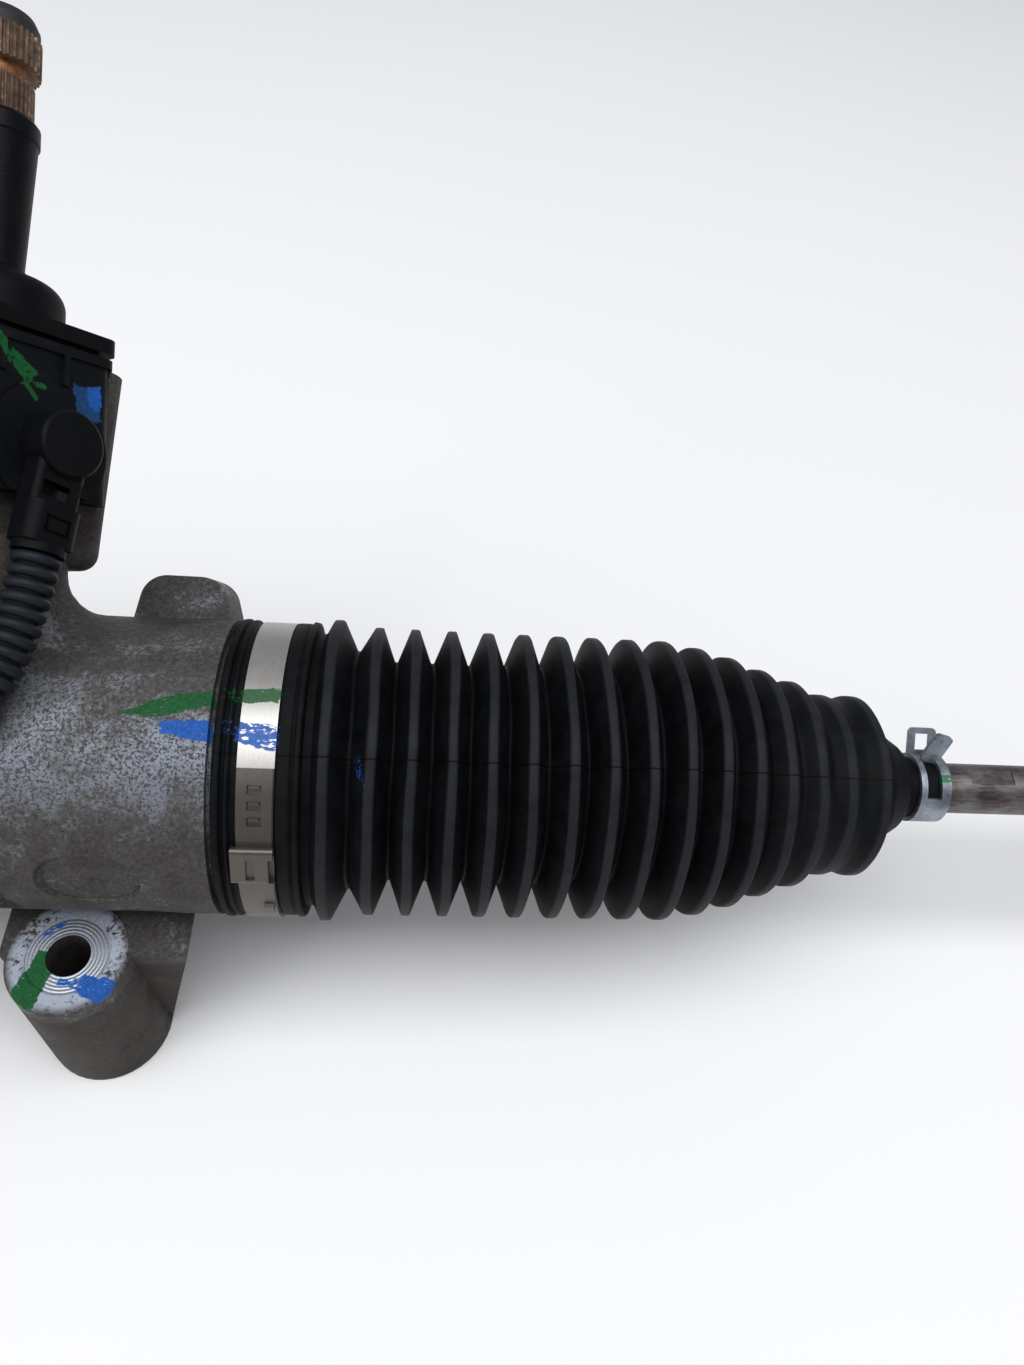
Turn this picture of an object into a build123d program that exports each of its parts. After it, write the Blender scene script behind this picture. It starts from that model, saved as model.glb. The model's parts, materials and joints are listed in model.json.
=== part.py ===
from build123d import *
import math
import os

# Steering rack with belt-driven electric assist. Sizes are in millimetres and degrees.
# X runs along the rack, Y to the rear and Z up along the mounting bolts.
# The origin is midway between the two bolt holes, on the plane that the feet stand on.

# Mounting feet, with the bolt's distance in from the tube's end: the bolts are 460 apart
foot_inset = 62.0
bolt_hole_d = 11.0
foot_height = 51.8
foot_top_r = 15.3
foot_base_r = 17.1
spot_face_r = 10.25
spot_face_depth = 0.4
web_half_width = 17.0
web_flare = 12.5
pocket_shift = 11.0
pocket_angle = 170.0
pocket_length = 23.0
pocket_width = 17.0
pocket_depth = 1.5

# Rack axis, seen from the bolt holes
rack_y = 42.5
rack_z = 77.0
rack_travel = 65.0
running_gap = 0.05
slip_gap = 0.02
soft_gap = 0.3

# Rack bar and its teeth
rack_r = 14.0
rack_half_length = 345.0
gear_module = 2.0
pressure_angle = 20.0
pinion_teeth = 8
pinion_shift = 0.53
rack_ref_line = 7.94
tooth_play = 0.16
toothed_spare = 15.0
stud_thread_r = 7.0
stud_thread_length = 20.0

# Pinion: how far in from the tube's end it stands, and how it lies on the rack
pinion_inset = 79.9
pinion_tilt = 39.0
pinion_offset = 17.0
gear_half_length = 15.0
journal_r = 7.5
tip_journal_r = 5.0
shaft_joint_height = 55.0
torsion_bore_r = 4.0
torsion_bar_r = 2.9
spline_teeth = 36
upper_spline_r = 8.6
lower_spline_r = 7.3
spline_depth = 0.7
upper_spline_z = 163.7
upper_spline_length = 7.7
lower_spline_length = 8.3
groove_r = 6.2
groove_length = 3.0
pilot_length = 5.1
sleeve_z = 115.4
sleeve_r = 8.8
sleeve_shaft_r = 5.2

# Cast tube and its ends. The right-hand end carries the pinion, a foot and the lug.
stop_cover = 12.0
seat_length = 23.5
shoulder_length = 32.0
shoulder_rise = 12.0
swell_length = 32.0
swell_from_pinion = 52.1
boss_length = 18.0
boss_taper = 44.0
seat_r = 35.6
shoulder_r = 38.2
tube_r = 37.8
slim_r = 27.0
rack_bore_r = 16.0
end_bore_r = 30.0
core_r = 28.0
core_length = 27.0
stop_depth = 30.0
bush_depth = 26.0
bush_length = 20.0

# Pinion tower
barrel_r = 17.5
tip_barrel_r = 12.0
barrel_bottom = -30.0
tower_bottom = 48.4
tower_top = 97.0
tower_half = 27.5
tower_back = 23.5
tower_front = 17.6
tower_draft = 5.4
tower_corner_r = 6.0
tower_edge_r = 4.5
root_fillet_r = 10.0
bearing_r = 14.0
top_bearing_z = 18.0
bearing_width = 8.0
cap_r = 10.0
cap_thick = 4.0
tip_bearing_r = 8.5
tip_bearing_z = -25.0

# Bracket lug behind the tube
lug_inset = 37.8
lug_height = 49.0
lug_half_base = 14.0
lug_half_top = 9.6
lug_top_r = 7.0
lug_half_depth = 9.0
lug_back = 8.0

# Torque sensor on the tower
sensor_turn = -37.0
sensor_half = 18.8
sensor_bottom = 64.0
sensor_bore_r = 10.5
sensor_spigot = 10.0
flange_thick = 2.2
flange_half = 19.5
lid_gap = 1.2
lid_neck_half = 17.4
lid_half = 19.8
lid_thick = 3.6
dome_r = 15.3
dome_height = 11.0
dome_edge_r = 5.0
seal_r = 11.5
seal_shaft_r = 6.2
seal_depth = 7.0
screw_inset = 4.6
screw_r = 1.5
screw_head_r = 2.6

# Connector elbow on the sensor face
plug_y = 2.65
plug_z = 75.2
plug_r = 7.6
plug_front = 28.6
plug_base_r = 14.4
plug_base_thick = 0.8
leg_tilt = 12.0
leg_width = 12.2
leg_depth = 10.0
leg_inset = 1.6
lock_recess = 2.6
latch_z = 11.3
collar_start = 14.6
collar_end = 23.6
leg_end = 25.6
conduit_r = 5.3

# Yoke that presses the rack on the pinion
yoke_r = 15.0
yoke_back = 24.0
liner_thick = 0.5
plug_thread_r = 17.0
yoke_plug_z = 31.0
yoke_plug_thick = 9.0
yoke_boss_r = 23.0
yoke_boss_top = 42.0
plug_hex = 17.0

# Ball nut, belt and motor
case_joint_x = -132.0
plate_thick = 10.0
case_wall = 4.0
cover_flange_thick = 8.0
cover_depth = 40.0
cover_neck = 33.0
cover_waist_r = 32.0
cover_foot_r = 46.0
nut_r = 25.0
nut_half_length = 32.0
nut_centre_x = -136.0
race_r = 27.5
nut_bearing_r = 36.0
bearing_wall = 5.5
nut_bearing_width = 16.0
belt_pitch = 5.0
nut_pulley_teeth = 50
motor_pulley_teeth = 20
belt_width = 24.0
belt_thick = 2.4
belt_tooth_depth = 1.6
belt_room = 5.0
motor_distance = 84.0
motor_angle = 170.0
motor_r = 42.0
motor_wall = 4.0
motor_length = 112.0
motor_neck = 20.0
motor_front_wall = 14.0
motor_room_start = 24.0
motor_end_wall = 14.0
motor_shaft_r = 6.0
rotor_r = 23.9
air_gap = 0.6
motor_bolt_circle = 50.0
motor_ear_r = 9.0
motor_flange_thick = 8.0
stator_length = 60.0
control_length = 50.0
control_width = 92.0
control_height = 84.0

# Bellows, one crest per fold, from the large cuff to the tie rod
crest_r = 38.0
first_crest_r = 39.5
valley_r = 29.0
first_valley_r = 31.4
cuff_gap = 1.3
cuff_r = 38.3
cuff_bead_r = 38.6
fold_start = 2.5
first_pitch = 10.6
fold_pitch = 9.55
full_folds = 10
taper_crests = (36.6, 34.4, 31.4, 28.6, 25.2, 25.2)
taper_valleys = (29.0, 28.8, 28.3, 26.4, 24.9, 24.1)
taper_pitch = 9.2
crest_land = 2.2
bellows_wall = 1.6
bellows_shoulder_r = 17.5
neck_r = 8.8
neck_rim = 0.6

# Clamps
band_inset = 5.6
band_width = 8.4
band_thick = 0.6
band_clear = 0.1
tongue_angle = 122.4
clamp_from_crest = 18.1
spring_clamp_width = 8.6
spring_clamp_thick = 1.2
spring_tab_angle = 69.0
spring_window_turn = 72.0
spring_tab_height = 8.0

# Inner ball joint, tie rod and outer ball joint
joint_depth = 20.0
ball_r = 12.0
socket_r = 19.0
seat_thick = 2.4
socket_lip = 7.0
tie_rod_r = 7.1
tie_neck_r = 5.8
tie_length = 307.0
tie_thread_length = 72.0
thread_to_ball = 40.0
tie_flat_width = 13.4
tie_flat_angle = 92.0
thread_in_end = 50.0
lock_nut_thick = 9.0
lock_nut_hex = 22.0
outer_barrel_r = 11.0
eye_r = 18.0
eye_half_height = 13.0
stud_ball_r = 11.0
stud_ball_gap = 0.09
stud_neck_r = 6.5
stud_taper_r = 6.9
stud_tip_r = 5.0
mouth_r = 11.9
stud_nut_hex = 17.0
stud_nut_thick = 9.0

# Frames of the parts that lie askew
tilt = math.radians(pinion_tilt)
shaft_dir = Vector(0, math.cos(tilt), math.sin(tilt))
pinion_side = Vector(0, -math.sin(tilt), math.cos(tilt))
end_x = rack_half_length - rack_travel + stop_cover
pinion_x = end_x - pinion_inset
rack_centre = Vector(pinion_x, rack_y, rack_z)
RACK = Location((0, rack_y, rack_z))
TOWER = Plane(rack_centre + pinion_side * pinion_offset, (1, 0, 0), shaft_dir).location
SENSOR = TOWER * Location((0, 0, 0), (0, 0, sensor_turn))
YOKE = Plane(rack_centre, (1, 0, 0), pinion_side * -1).location
motor_dir = Vector(0, math.cos(math.radians(motor_angle)), math.sin(math.radians(motor_angle)))
MOTOR = RACK * Pos(motor_dir * motor_distance)

# Sizes that follow from those above
rack_pitch = math.pi * gear_module
pitch_r = gear_module * pinion_teeth / 2
pinion_tip_r = pitch_r + gear_module * (1 + pinion_shift) - 0.06
pinion_root_r = pitch_r - gear_module * (1.25 - pinion_shift)
rack_tip_line = rack_ref_line + gear_module
rack_root_line = rack_ref_line - 1.25 * gear_module
plug_back = sensor_half + plug_base_thick
lid_z = tower_top + flange_thick + lid_gap
lid_top = lid_z + lid_thick
dome_top = lid_top + dome_height
plate_x = case_joint_x + plate_thick
motor_end_x = plate_x + motor_length
control_end_x = motor_end_x + control_length
nut_pulley_r = belt_pitch * nut_pulley_teeth / (2 * math.pi)
motor_pulley_r = belt_pitch * motor_pulley_teeth / (2 * math.pi)
belt_x = case_joint_x - 6.0 - belt_width
lower_spline_z = upper_spline_z - groove_length - lower_spline_length
bolt_x = end_x - foot_inset
pocket_x = bolt_x + pocket_shift
seat_shoulder_x = end_x - seat_length
shoulder_x = end_x - shoulder_length
stop_seat_x = end_x - stop_depth
lug_x = end_x - lug_inset
cuff_lip_x = seat_shoulder_x + cuff_gap
band_x = cuff_lip_x + band_inset
fold_start_x = end_x + fold_start
last_full_x = fold_start_x + first_pitch + (full_folds - 2) * fold_pitch
last_crest_x = last_full_x + len(taper_crests) * taper_pitch
spring_clamp_x = last_crest_x + clamp_from_crest
neck_end_x = spring_clamp_x + spring_clamp_width + neck_rim
ball_x = rack_half_length + joint_depth
socket_lip_x = ball_x + socket_lip
outer_ball_x = ball_x + tie_length
tie_end_x = outer_ball_x - thread_to_ball
tie_thread_x = tie_end_x - tie_thread_length
lock_nut_x = tie_end_x - thread_in_end
outer_start_x = lock_nut_x + lock_nut_thick + soft_gap


def turned_x(points):
    """A solid turned about the X axis from (x, radius) points."""
    return revolve(make_face((Plane.XZ * Polyline(*points, close=True)).edges()), Axis.X)


def turned_z(points):
    """A solid turned about the Z axis from (radius, z) points."""
    return revolve(make_face((Plane.XZ * Polyline(*points, close=True)).edges()), Axis.Z)


def tube_x(start, end, outer, inner):
    return turned_x([(start, inner), (end, inner), (end, outer), (start, outer)])


def tube_z(start, end, outer, inner):
    return turned_z([(inner, start), (inner, end), (outer, end), (outer, start)])


def rod_x(start, end, radius):
    return turned_x([(start, 0), (end, 0), (end, radius), (start, radius)])


def rod_z(start, end, radius):
    return turned_z([(0, start), (0, end), (radius, end), (radius, start)])


def prism_x(sketch, start, end):
    """A sketch in Y and Z, drawn out along X."""
    return extrude(Plane.YZ.offset(start) * sketch, end - start)


def prism_z(sketch, start, end):
    return extrude(Plane.XY.offset(start) * sketch, end - start)


def sector_x(start_angle, end_angle, start, end):
    """A wedge about the X axis, to keep or cut part of a ring. Angles run from Y to Z."""
    reach = 60
    corners = [(0, 0)]
    for angle in (start_angle, (start_angle + end_angle) / 2, end_angle):
        corners.append((reach * math.cos(math.radians(angle)), reach * math.sin(math.radians(angle))))
    return prism_x(Polygon(*corners, align=None), start, end)


def mirrored(shape):
    """The same piece on the other end of the rack."""
    return mirror(shape, Plane.YZ)


def involute_flank(base_r, tip_r, half_angle):
    """Points of an involute from its base circle to the tip, turned back by half_angle there."""
    points = []
    steps = 7
    reach = math.sqrt((tip_r / base_r) ** 2 - 1)
    for i in range(steps + 1):
        roll = reach * i / steps
        angle = roll - math.atan(roll) - half_angle
        radius = base_r * math.sqrt(1 + roll * roll)
        points.append((radius * math.sin(angle), -radius * math.cos(angle)))
    return points


def pinion_section():
    """The pinion's outline, with one tooth pointing at the rack."""
    alpha = math.radians(pressure_angle)
    base_r = pitch_r * math.cos(alpha)
    thick = gear_module * (math.pi / 2 + 2 * pinion_shift * math.tan(alpha)) - tooth_play / 2
    half_angle = thick / (2 * pitch_r) + math.tan(alpha) - alpha
    left = involute_flank(base_r, pinion_tip_r, half_angle)
    right = [(-x, y) for x, y in reversed(left)]
    root_angle = half_angle * 0.96
    foot = (-pinion_root_r * math.sin(root_angle), -pinion_root_r * math.cos(root_angle))
    other_foot = (-foot[0], foot[1])
    tooth = make_face([
        Line((0, 0), foot),
        Line(foot, left[0]),
        Spline(*left),
        Line(left[-1], right[0]),
        Spline(*right),
        Line(right[-1], other_foot),
        Line(other_foot, (0, 0)),
    ])
    section = Circle(pinion_root_r)
    for i in range(pinion_teeth):
        section += Rot(0, 0, 360 * i / pinion_teeth) * tooth
    return section


def rack_gap(place):
    """The outline of one gap between rack teeth, with its width set by the play."""
    slope = math.tan(math.radians(pressure_angle))
    half_ref = rack_pitch / 4 + tooth_play / 4
    over = 1.0
    top = half_ref + (gear_module + over) * slope
    bottom = half_ref - 1.25 * gear_module * slope
    low = rack_root_line
    high = rack_tip_line + over
    return Polygon((place - top, high), (place + top, high), (place + bottom, low),
                   (place - bottom, low), align=None)


def rack_bar():
    bar = turned_x([
        (-rack_half_length, 0), (rack_half_length, 0), (rack_half_length, rack_r - 1.5),
        (rack_half_length - 1.5, rack_r), (1.5 - rack_half_length, rack_r),
        (-rack_half_length, rack_r - 1.5),
    ])
    half = rack_travel + toothed_spare
    count = int(half / rack_pitch)
    flat = Pos(0, rack_tip_line + rack_r / 2) * Rectangle(2 * half + rack_pitch, rack_r)
    cut = flat
    for i in range(-count, count + 1):
        cut += rack_gap(i * rack_pitch)
    teeth = extrude(Plane(rack_centre, (1, 0, 0), shaft_dir * -1) * cut, rack_r, both=True)
    holes = []
    for side in (-1, 1):
        start = side * (rack_half_length - stud_thread_length - 1)
        holes.append(rod_x(min(start, side * rack_half_length), max(start, side * rack_half_length),
                           stud_thread_r + slip_gap))
    return RACK * (bar - holes) - teeth


def pinion_gear():
    gear = prism_z(pinion_section(), -gear_half_length, gear_half_length)
    shaft = turned_z([
        (0, tip_bearing_z - 1), (tip_journal_r - 1, tip_bearing_z - 1),
        (tip_journal_r, tip_bearing_z), (tip_journal_r, -gear_half_length),
        (tip_journal_r, gear_half_length), (journal_r, gear_half_length),
        (journal_r, shaft_joint_height), (0, shaft_joint_height),
    ])
    bore = rod_z(top_bearing_z + 2, shaft_joint_height + 1, torsion_bore_r)
    return TOWER * (gear + shaft - bore)


def torsion_bar():
    fit_r = torsion_bore_r - slip_gap
    low = top_bearing_z + 2.5
    high = lower_spline_z - 4
    return TOWER * turned_z([
        (0, low), (fit_r, low), (fit_r, low + 12), (torsion_bar_r, low + 16),
        (torsion_bar_r, high - 16), (fit_r, high - 12), (fit_r, high), (0, high),
    ])


def spline_ring(radius, start, length):
    """A ring of straight-sided teeth round the shaft."""
    points = []
    for i in range(spline_teeth):
        for share, r in ((0.0, radius), (0.25, radius), (0.5, radius - spline_depth),
                         (0.75, radius - spline_depth)):
            angle = 2 * math.pi * (i + share) / spline_teeth
            points.append((r * math.cos(angle), r * math.sin(angle)))
    return prism_z(Polygon(*points, align=None), start, start + length)


def input_shaft():
    low = shaft_joint_height + 0.6
    top = upper_spline_z + upper_spline_length
    body = turned_z([
        (0, low), (seal_shaft_r, low), (seal_shaft_r, sleeve_z - 1.0),
        (sleeve_shaft_r, sleeve_z - 1.0), (sleeve_shaft_r, lower_spline_z),
        (groove_r, lower_spline_z), (groove_r, upper_spline_z + 1),
        (upper_spline_r - 0.4, upper_spline_z + upper_spline_length),
        (upper_spline_r - 0.4, top + pilot_length - 3), (upper_spline_r - 1.4, top + pilot_length - 1),
        (upper_spline_r - 3.4, top + pilot_length), (0, top + pilot_length),
    ])
    body += spline_ring(lower_spline_r, lower_spline_z, lower_spline_length)
    body += spline_ring(upper_spline_r, upper_spline_z, upper_spline_length)
    bore = rod_z(low - 1, lower_spline_z - 3, torsion_bore_r)
    return TOWER * (body - bore)


def shaft_sleeve():
    """The dust sleeve that turns with the input shaft, flared over the sensor dome."""
    inner = sleeve_shaft_r + slip_gap
    top = lower_spline_z - 0.2
    return TOWER * turned_z([
        (inner, sleeve_z), (sleeve_r - 0.8, sleeve_z), (sleeve_r - 1.6, sleeve_z + 1.6),
        (sleeve_r - 2.6, sleeve_z + 2.4), (sleeve_r - 0.4, top - 5), (sleeve_r, top - 4.6),
        (sleeve_r, top - 1), (sleeve_r - 0.8, top), (inner, top),
    ])


def sensor_rotor():
    middle = (sensor_bottom + tower_top) / 2
    return TOWER * tube_z(middle - 6, middle + 6, sensor_bore_r - 0.5, seal_shaft_r + slip_gap)


def foot_holes():
    """The clearance holes of both feet, with their spot faces."""
    holes = []
    for x in (-bolt_x, bolt_x):
        holes.append(Pos(x, 0, 0) * rod_z(-1, foot_height + 1, bolt_hole_d / 2))
        spot = rod_z(foot_height - spot_face_depth, foot_height + 1, spot_face_r)
        holes.append(Pos(x, 0, 0) * spot)
    return holes


def mounting_foot():
    """The right-hand foot: a drafted round boss and the web that joins it to the tube."""
    boss = turned_z([
        (0, 0), (foot_base_r, 0), (foot_base_r, 3), (foot_top_r, foot_height - 0.8),
        (foot_top_r - 0.8, foot_height), (0, foot_height),
    ])
    flared = web_half_width + web_flare
    front = make_face((Plane.XZ * Polyline(
        (-web_half_width, 0), (web_half_width, 0), (flared, foot_height), (flared, rack_z),
        (-web_half_width, rack_z), close=True)).edges())
    side = make_face((Plane.YZ * Polyline(
        (0, 1), (0, foot_height - 0.4), (rack_y - tube_r + 14, foot_height - 0.4),
        (rack_y, rack_z), (rack_y, rack_z - tube_r + 2), (rack_y - 12, rack_z - tube_r - 4),
        (8, 1), close=True)).edges())
    web = extrude(front, rack_y, both=True) & extrude(side, 60, both=True)
    return Pos(bolt_x, 0, 0) * (boss + web)


def pinion_barrel():
    return turned_z([
        (0, barrel_bottom), (tip_barrel_r - 1.5, barrel_bottom), (tip_barrel_r, barrel_bottom + 2),
        (tip_barrel_r, -16), (barrel_r, -8), (barrel_r, tower_bottom + 6), (0, tower_bottom + 6),
    ])


def barrel_on_tube(tube):
    """The tube with the pinion's barrel, and a cast fillet where they meet above the rack."""
    body = RACK * tube + TOWER * pinion_barrel()
    to_tower = TOWER.inverse()
    seam = []
    for edge in body.edges().filter_by(GeomType.BSPLINE):
        if (to_tower * Pos(edge @ 0.5)).position.Z > 0:
            seam.append(edge)
    return fillet(seam, root_fillet_r)


def tower_shell():
    """The open-fronted housing round the torque sensor, still without its bores."""
    shrink = (tower_top - tower_bottom) * math.tan(math.radians(tower_draft))
    core = RectangleRounded(tower_back + tower_front - 2 * shrink, 2 * (tower_half - shrink),
                            tower_corner_r)
    box = extrude(Pos((tower_front - tower_back) / 2, 0, tower_bottom) * core,
                  tower_top - tower_bottom, taper=-tower_draft)
    box = fillet(box.faces().sort_by(Axis.Z)[0].edges(), tower_edge_r)
    sensor_room = Pos(tower_half, 0) * Rectangle(2 * (sensor_half + tower_half), 2 * sensor_half)
    return SENSOR * (box - prism_z(sensor_room, sensor_bottom, tower_top + 1))


def tower_bores():
    """Everything machined along the pinion's axis."""
    return TOWER * turned_z([
        (0, barrel_bottom - 12), (cap_r, barrel_bottom - 12), (cap_r, barrel_bottom + cap_thick),
        (tip_bearing_r + slip_gap, barrel_bottom + cap_thick),
        (tip_bearing_r + slip_gap, tip_bearing_z + bearing_width),
        (pinion_tip_r + 0.8, tip_bearing_z + bearing_width), (pinion_tip_r + 0.8, top_bearing_z),
        (bearing_r + slip_gap, top_bearing_z), (bearing_r + slip_gap, tower_top + 1),
        (0, tower_top + 1),
    ])


def yoke_bores():
    return YOKE * turned_z([
        (0, 0), (yoke_r + running_gap, 0), (yoke_r + running_gap, yoke_plug_z - 2),
        (plug_thread_r + slip_gap, yoke_plug_z - 2), (plug_thread_r + slip_gap, yoke_boss_top + 1),
        (0, yoke_boss_top + 1),
    ])


def rear_lug():
    """The bracket lug on top of the tube, beside the tower."""
    base = tube_r - 6
    outline = Polygon((-lug_half_base, base), (lug_half_base, base), (lug_half_top, lug_height),
                      (-lug_half_top, lug_height), align=None)
    lug = extrude(Plane.XZ * outline, lug_half_depth, both=True)
    lug = fillet(lug.edges().filter_by(Axis.Y).sort_by(Axis.Z)[-2:], lug_top_r)
    place = Plane(Vector(lug_x, rack_y, rack_z), (1, 0, 0), shaft_dir).location
    return place * Pos(0, lug_back, 0) * lug


def pocket_frame():
    """The oval pocket on the tube above the foot: its floor, with Z out of the tube."""
    angle = math.radians(pocket_angle)
    out = Vector(0, math.cos(angle), math.sin(angle))
    floor = Vector(pocket_x, rack_y, rack_z) + out * (tube_r - pocket_depth)
    return Plane(floor, (1, 0, 0), out).location


def cast_pocket():
    pocket = extrude(SlotOverall(pocket_length, pocket_width), 12, taper=-15)
    return pocket_frame() * pocket


def pocket_lump():
    """The cone left by the core pin near the pocket's end."""
    place = pocket_width / 2 - pocket_length / 2
    return pocket_frame() * turned_z([(0, -3), (4.0, -3), (4.0, 0), (1.6, 1.4), (0, 1.6)]).moved(
        Location((place, 0, 0)))


def case_outline(extra):
    """The outline round both pulleys, in Y and Z from the rack axis."""
    big = Circle(nut_pulley_r + belt_thick + belt_room + extra)
    small = Circle(motor_pulley_r + belt_thick + belt_room + extra)
    small = Pos(motor_dir.Y * motor_distance, motor_dir.Z * motor_distance) * small
    return make_hull(big.edges() + small.edges())


def case_bolt_places():
    """(Y, Z) places of the bolts that join the two castings, from the rack axis."""
    big = nut_pulley_r + belt_thick + belt_room + 11
    small = motor_pulley_r + belt_thick + belt_room + 11
    places = []
    for turn in (-150, -78, 78, 150):
        angle = math.radians(motor_angle + turn)
        places.append((big * math.cos(angle), big * math.sin(angle)))
    for turn in (-62, 62):
        angle = math.radians(motor_angle + turn)
        places.append((motor_dir.Y * motor_distance + small * math.cos(angle),
                       motor_dir.Z * motor_distance + small * math.sin(angle)))
    return places


def motor_bolt_places():
    """(Y, Z) places of the three motor bolts, from the motor's axis."""
    angles = [math.radians(motor_angle + turn) for turn in (-100, 0, 100)]
    return [(motor_bolt_circle * math.cos(a), motor_bolt_circle * math.sin(a)) for a in angles]


def motor_flange_outline():
    """The round flange with an ear for each bolt, from the motor's axis."""
    edges = Circle(motor_r).edges()
    for y, z in motor_bolt_places():
        edges += (Pos(y, z) * Circle(motor_ear_r)).edges()
    return make_hull(edges)


def flange_outline():
    outline = case_outline(case_wall + 1)
    for y, z in case_bolt_places():
        outline += Pos(y, z) * Circle(8)
    return outline


def pinion_housing():
    """The long casting from the belt case to the right-hand bellows."""
    boss_r = nut_bearing_r + bearing_wall
    boss_end = plate_x + boss_length
    swell_x = pinion_x - swell_from_pinion
    tube = turned_x([
        (case_joint_x, 0), (case_joint_x, boss_r), (boss_end, boss_r), (boss_end + 6, boss_r - 1.5),
        (boss_end + boss_taper - 12, slim_r + 4), (boss_end + boss_taper, slim_r),
        (swell_x - swell_length, slim_r), (swell_x - 10, tube_r - 2), (swell_x, tube_r),
        (shoulder_x - shoulder_rise, tube_r), (shoulder_x, shoulder_r),
        (seat_shoulder_x, shoulder_r), (seat_shoulder_x, seat_r), (end_x - 1, seat_r),
        (end_x, seat_r - 1), (end_x, 0),
    ])
    ribs = []
    for turn in (45, 135, 225, 315):
        web = Pos(-84, 24) * Polygon((-20, 0), (40, 0), (-20, 25), align=None)
        rib = extrude(Plane.XZ * web, 2.5, both=True)
        ribs.append(Rot(turn, 0, 0) * rib)
    plate = prism_x(flange_outline(), case_joint_x, plate_x)
    outer = barrel_on_tube(tube) + [RACK * piece for piece in ribs + [plate]] + tower_shell()
    outer += MOTOR * prism_x(motor_flange_outline(), case_joint_x, plate_x)
    outer += YOKE * turned_z([
        (0, 0), (yoke_boss_r + 2, 0), (yoke_boss_r, yoke_boss_top - 2),
        (yoke_boss_r - 1.5, yoke_boss_top), (0, yoke_boss_top),
    ])
    outer += [mounting_foot(), rear_lug()]
    outer = outer - cast_pocket() + pocket_lump()
    inside = turned_x([
        (case_joint_x - 1, 0), (case_joint_x - 1, nut_bearing_r + slip_gap),
        (case_joint_x + nut_bearing_width + 1, nut_bearing_r + slip_gap),
        (case_joint_x + nut_bearing_width + 1, nut_r + 2), (nut_centre_x + nut_half_length + 4, nut_r + 2),
        (nut_centre_x + nut_half_length + 14, rack_bore_r), (stop_seat_x - core_length - 8, rack_bore_r),
        (stop_seat_x - core_length, core_r), (stop_seat_x, core_r), (stop_seat_x, end_bore_r + slip_gap),
        (end_x + 1, end_bore_r + slip_gap), (end_x + 1, 0),
    ])
    outer -= RACK * inside
    outer -= MOTOR * rod_x(case_joint_x - 1, plate_x + 1, motor_pulley_r + 6)
    outer -= [tower_bores(), yoke_bores()]
    for y, z in case_bolt_places():
        outer -= RACK * Pos(0, y, z) * rod_x(case_joint_x - 1, plate_x + 1, 3 + slip_gap)
    for y, z in motor_bolt_places():
        outer -= MOTOR * Pos(0, y, z) * rod_x(plate_x - 8, plate_x + 1, 3 + slip_gap)
    return outer - foot_holes()


def drive_housing():
    """The belt cover with the left-hand tube and foot."""
    cover_x = case_joint_x - cover_depth
    tube = turned_x([
        (-end_x, 0), (-end_x, seat_r - 1), (1 - end_x, seat_r), (-seat_shoulder_x, seat_r),
        (-seat_shoulder_x, shoulder_r), (-shoulder_x, shoulder_r),
        (shoulder_rise - shoulder_x, tube_r), (cover_x - cover_neck, tube_r),
        (cover_x - cover_neck + 9, cover_waist_r), (cover_x - 14, cover_waist_r + 4),
        (cover_x, cover_foot_r), (cover_x, 0),
    ])
    case = prism_x(case_outline(case_wall), cover_x, case_joint_x)
    case = fillet(case.faces().sort_by(Axis.X)[0].edges(), 5)
    flange = prism_x(flange_outline(), case_joint_x - cover_flange_thick, case_joint_x)
    outer = RACK * (tube + case + flange) + mirrored(mounting_foot())
    room = prism_x(case_outline(0), cover_x + case_wall, case_joint_x + 1)
    inside = turned_x([
        (-end_x - 1, 0), (-end_x - 1, end_bore_r + slip_gap), (-stop_seat_x, end_bore_r + slip_gap),
        (-stop_seat_x, core_r), (-stop_seat_x + 18, core_r), (-stop_seat_x + 24, rack_bore_r + 0.5),
        (nut_centre_x - nut_half_length - 20, rack_bore_r + 0.5),
        (nut_centre_x - nut_half_length - 12, nut_r + 2), (case_joint_x, nut_r + 2), (case_joint_x, 0),
    ])
    outer -= [RACK * room, RACK * inside]
    for y, z in case_bolt_places():
        outer -= RACK * Pos(0, y, z) * rod_x(case_joint_x - cover_flange_thick - 1, case_joint_x + 1,
                                             3 + slip_gap)
    return outer - foot_holes()


def hex_bolt(length, shank_r, hexagon, head):
    """A flanged bolt along X, with its seat at x = 0 and its shank towards +X."""
    cap = prism_x(RegularPolygon(hexagon / 2, 6, major_radius=False), -head, -1.2)
    return cap + rod_x(-1.2, 0, hexagon / 2 + 1.5) + rod_x(0, length, shank_r)


def housing_bolts():
    bolt = hex_bolt(cover_flange_thick + plate_thick - 1, 3, 10, 6)
    seat_x = case_joint_x - cover_flange_thick
    return [RACK * Pos(seat_x, y, z) * bolt for y, z in case_bolt_places()]


def motor_bolts():
    bolt = Rot(0, 180, 0) * hex_bolt(motor_flange_thick + 7.5, 3, 10, 6)
    return [MOTOR * Pos(plate_x + motor_flange_thick, y, z) * bolt for y, z in motor_bolt_places()]


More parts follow.
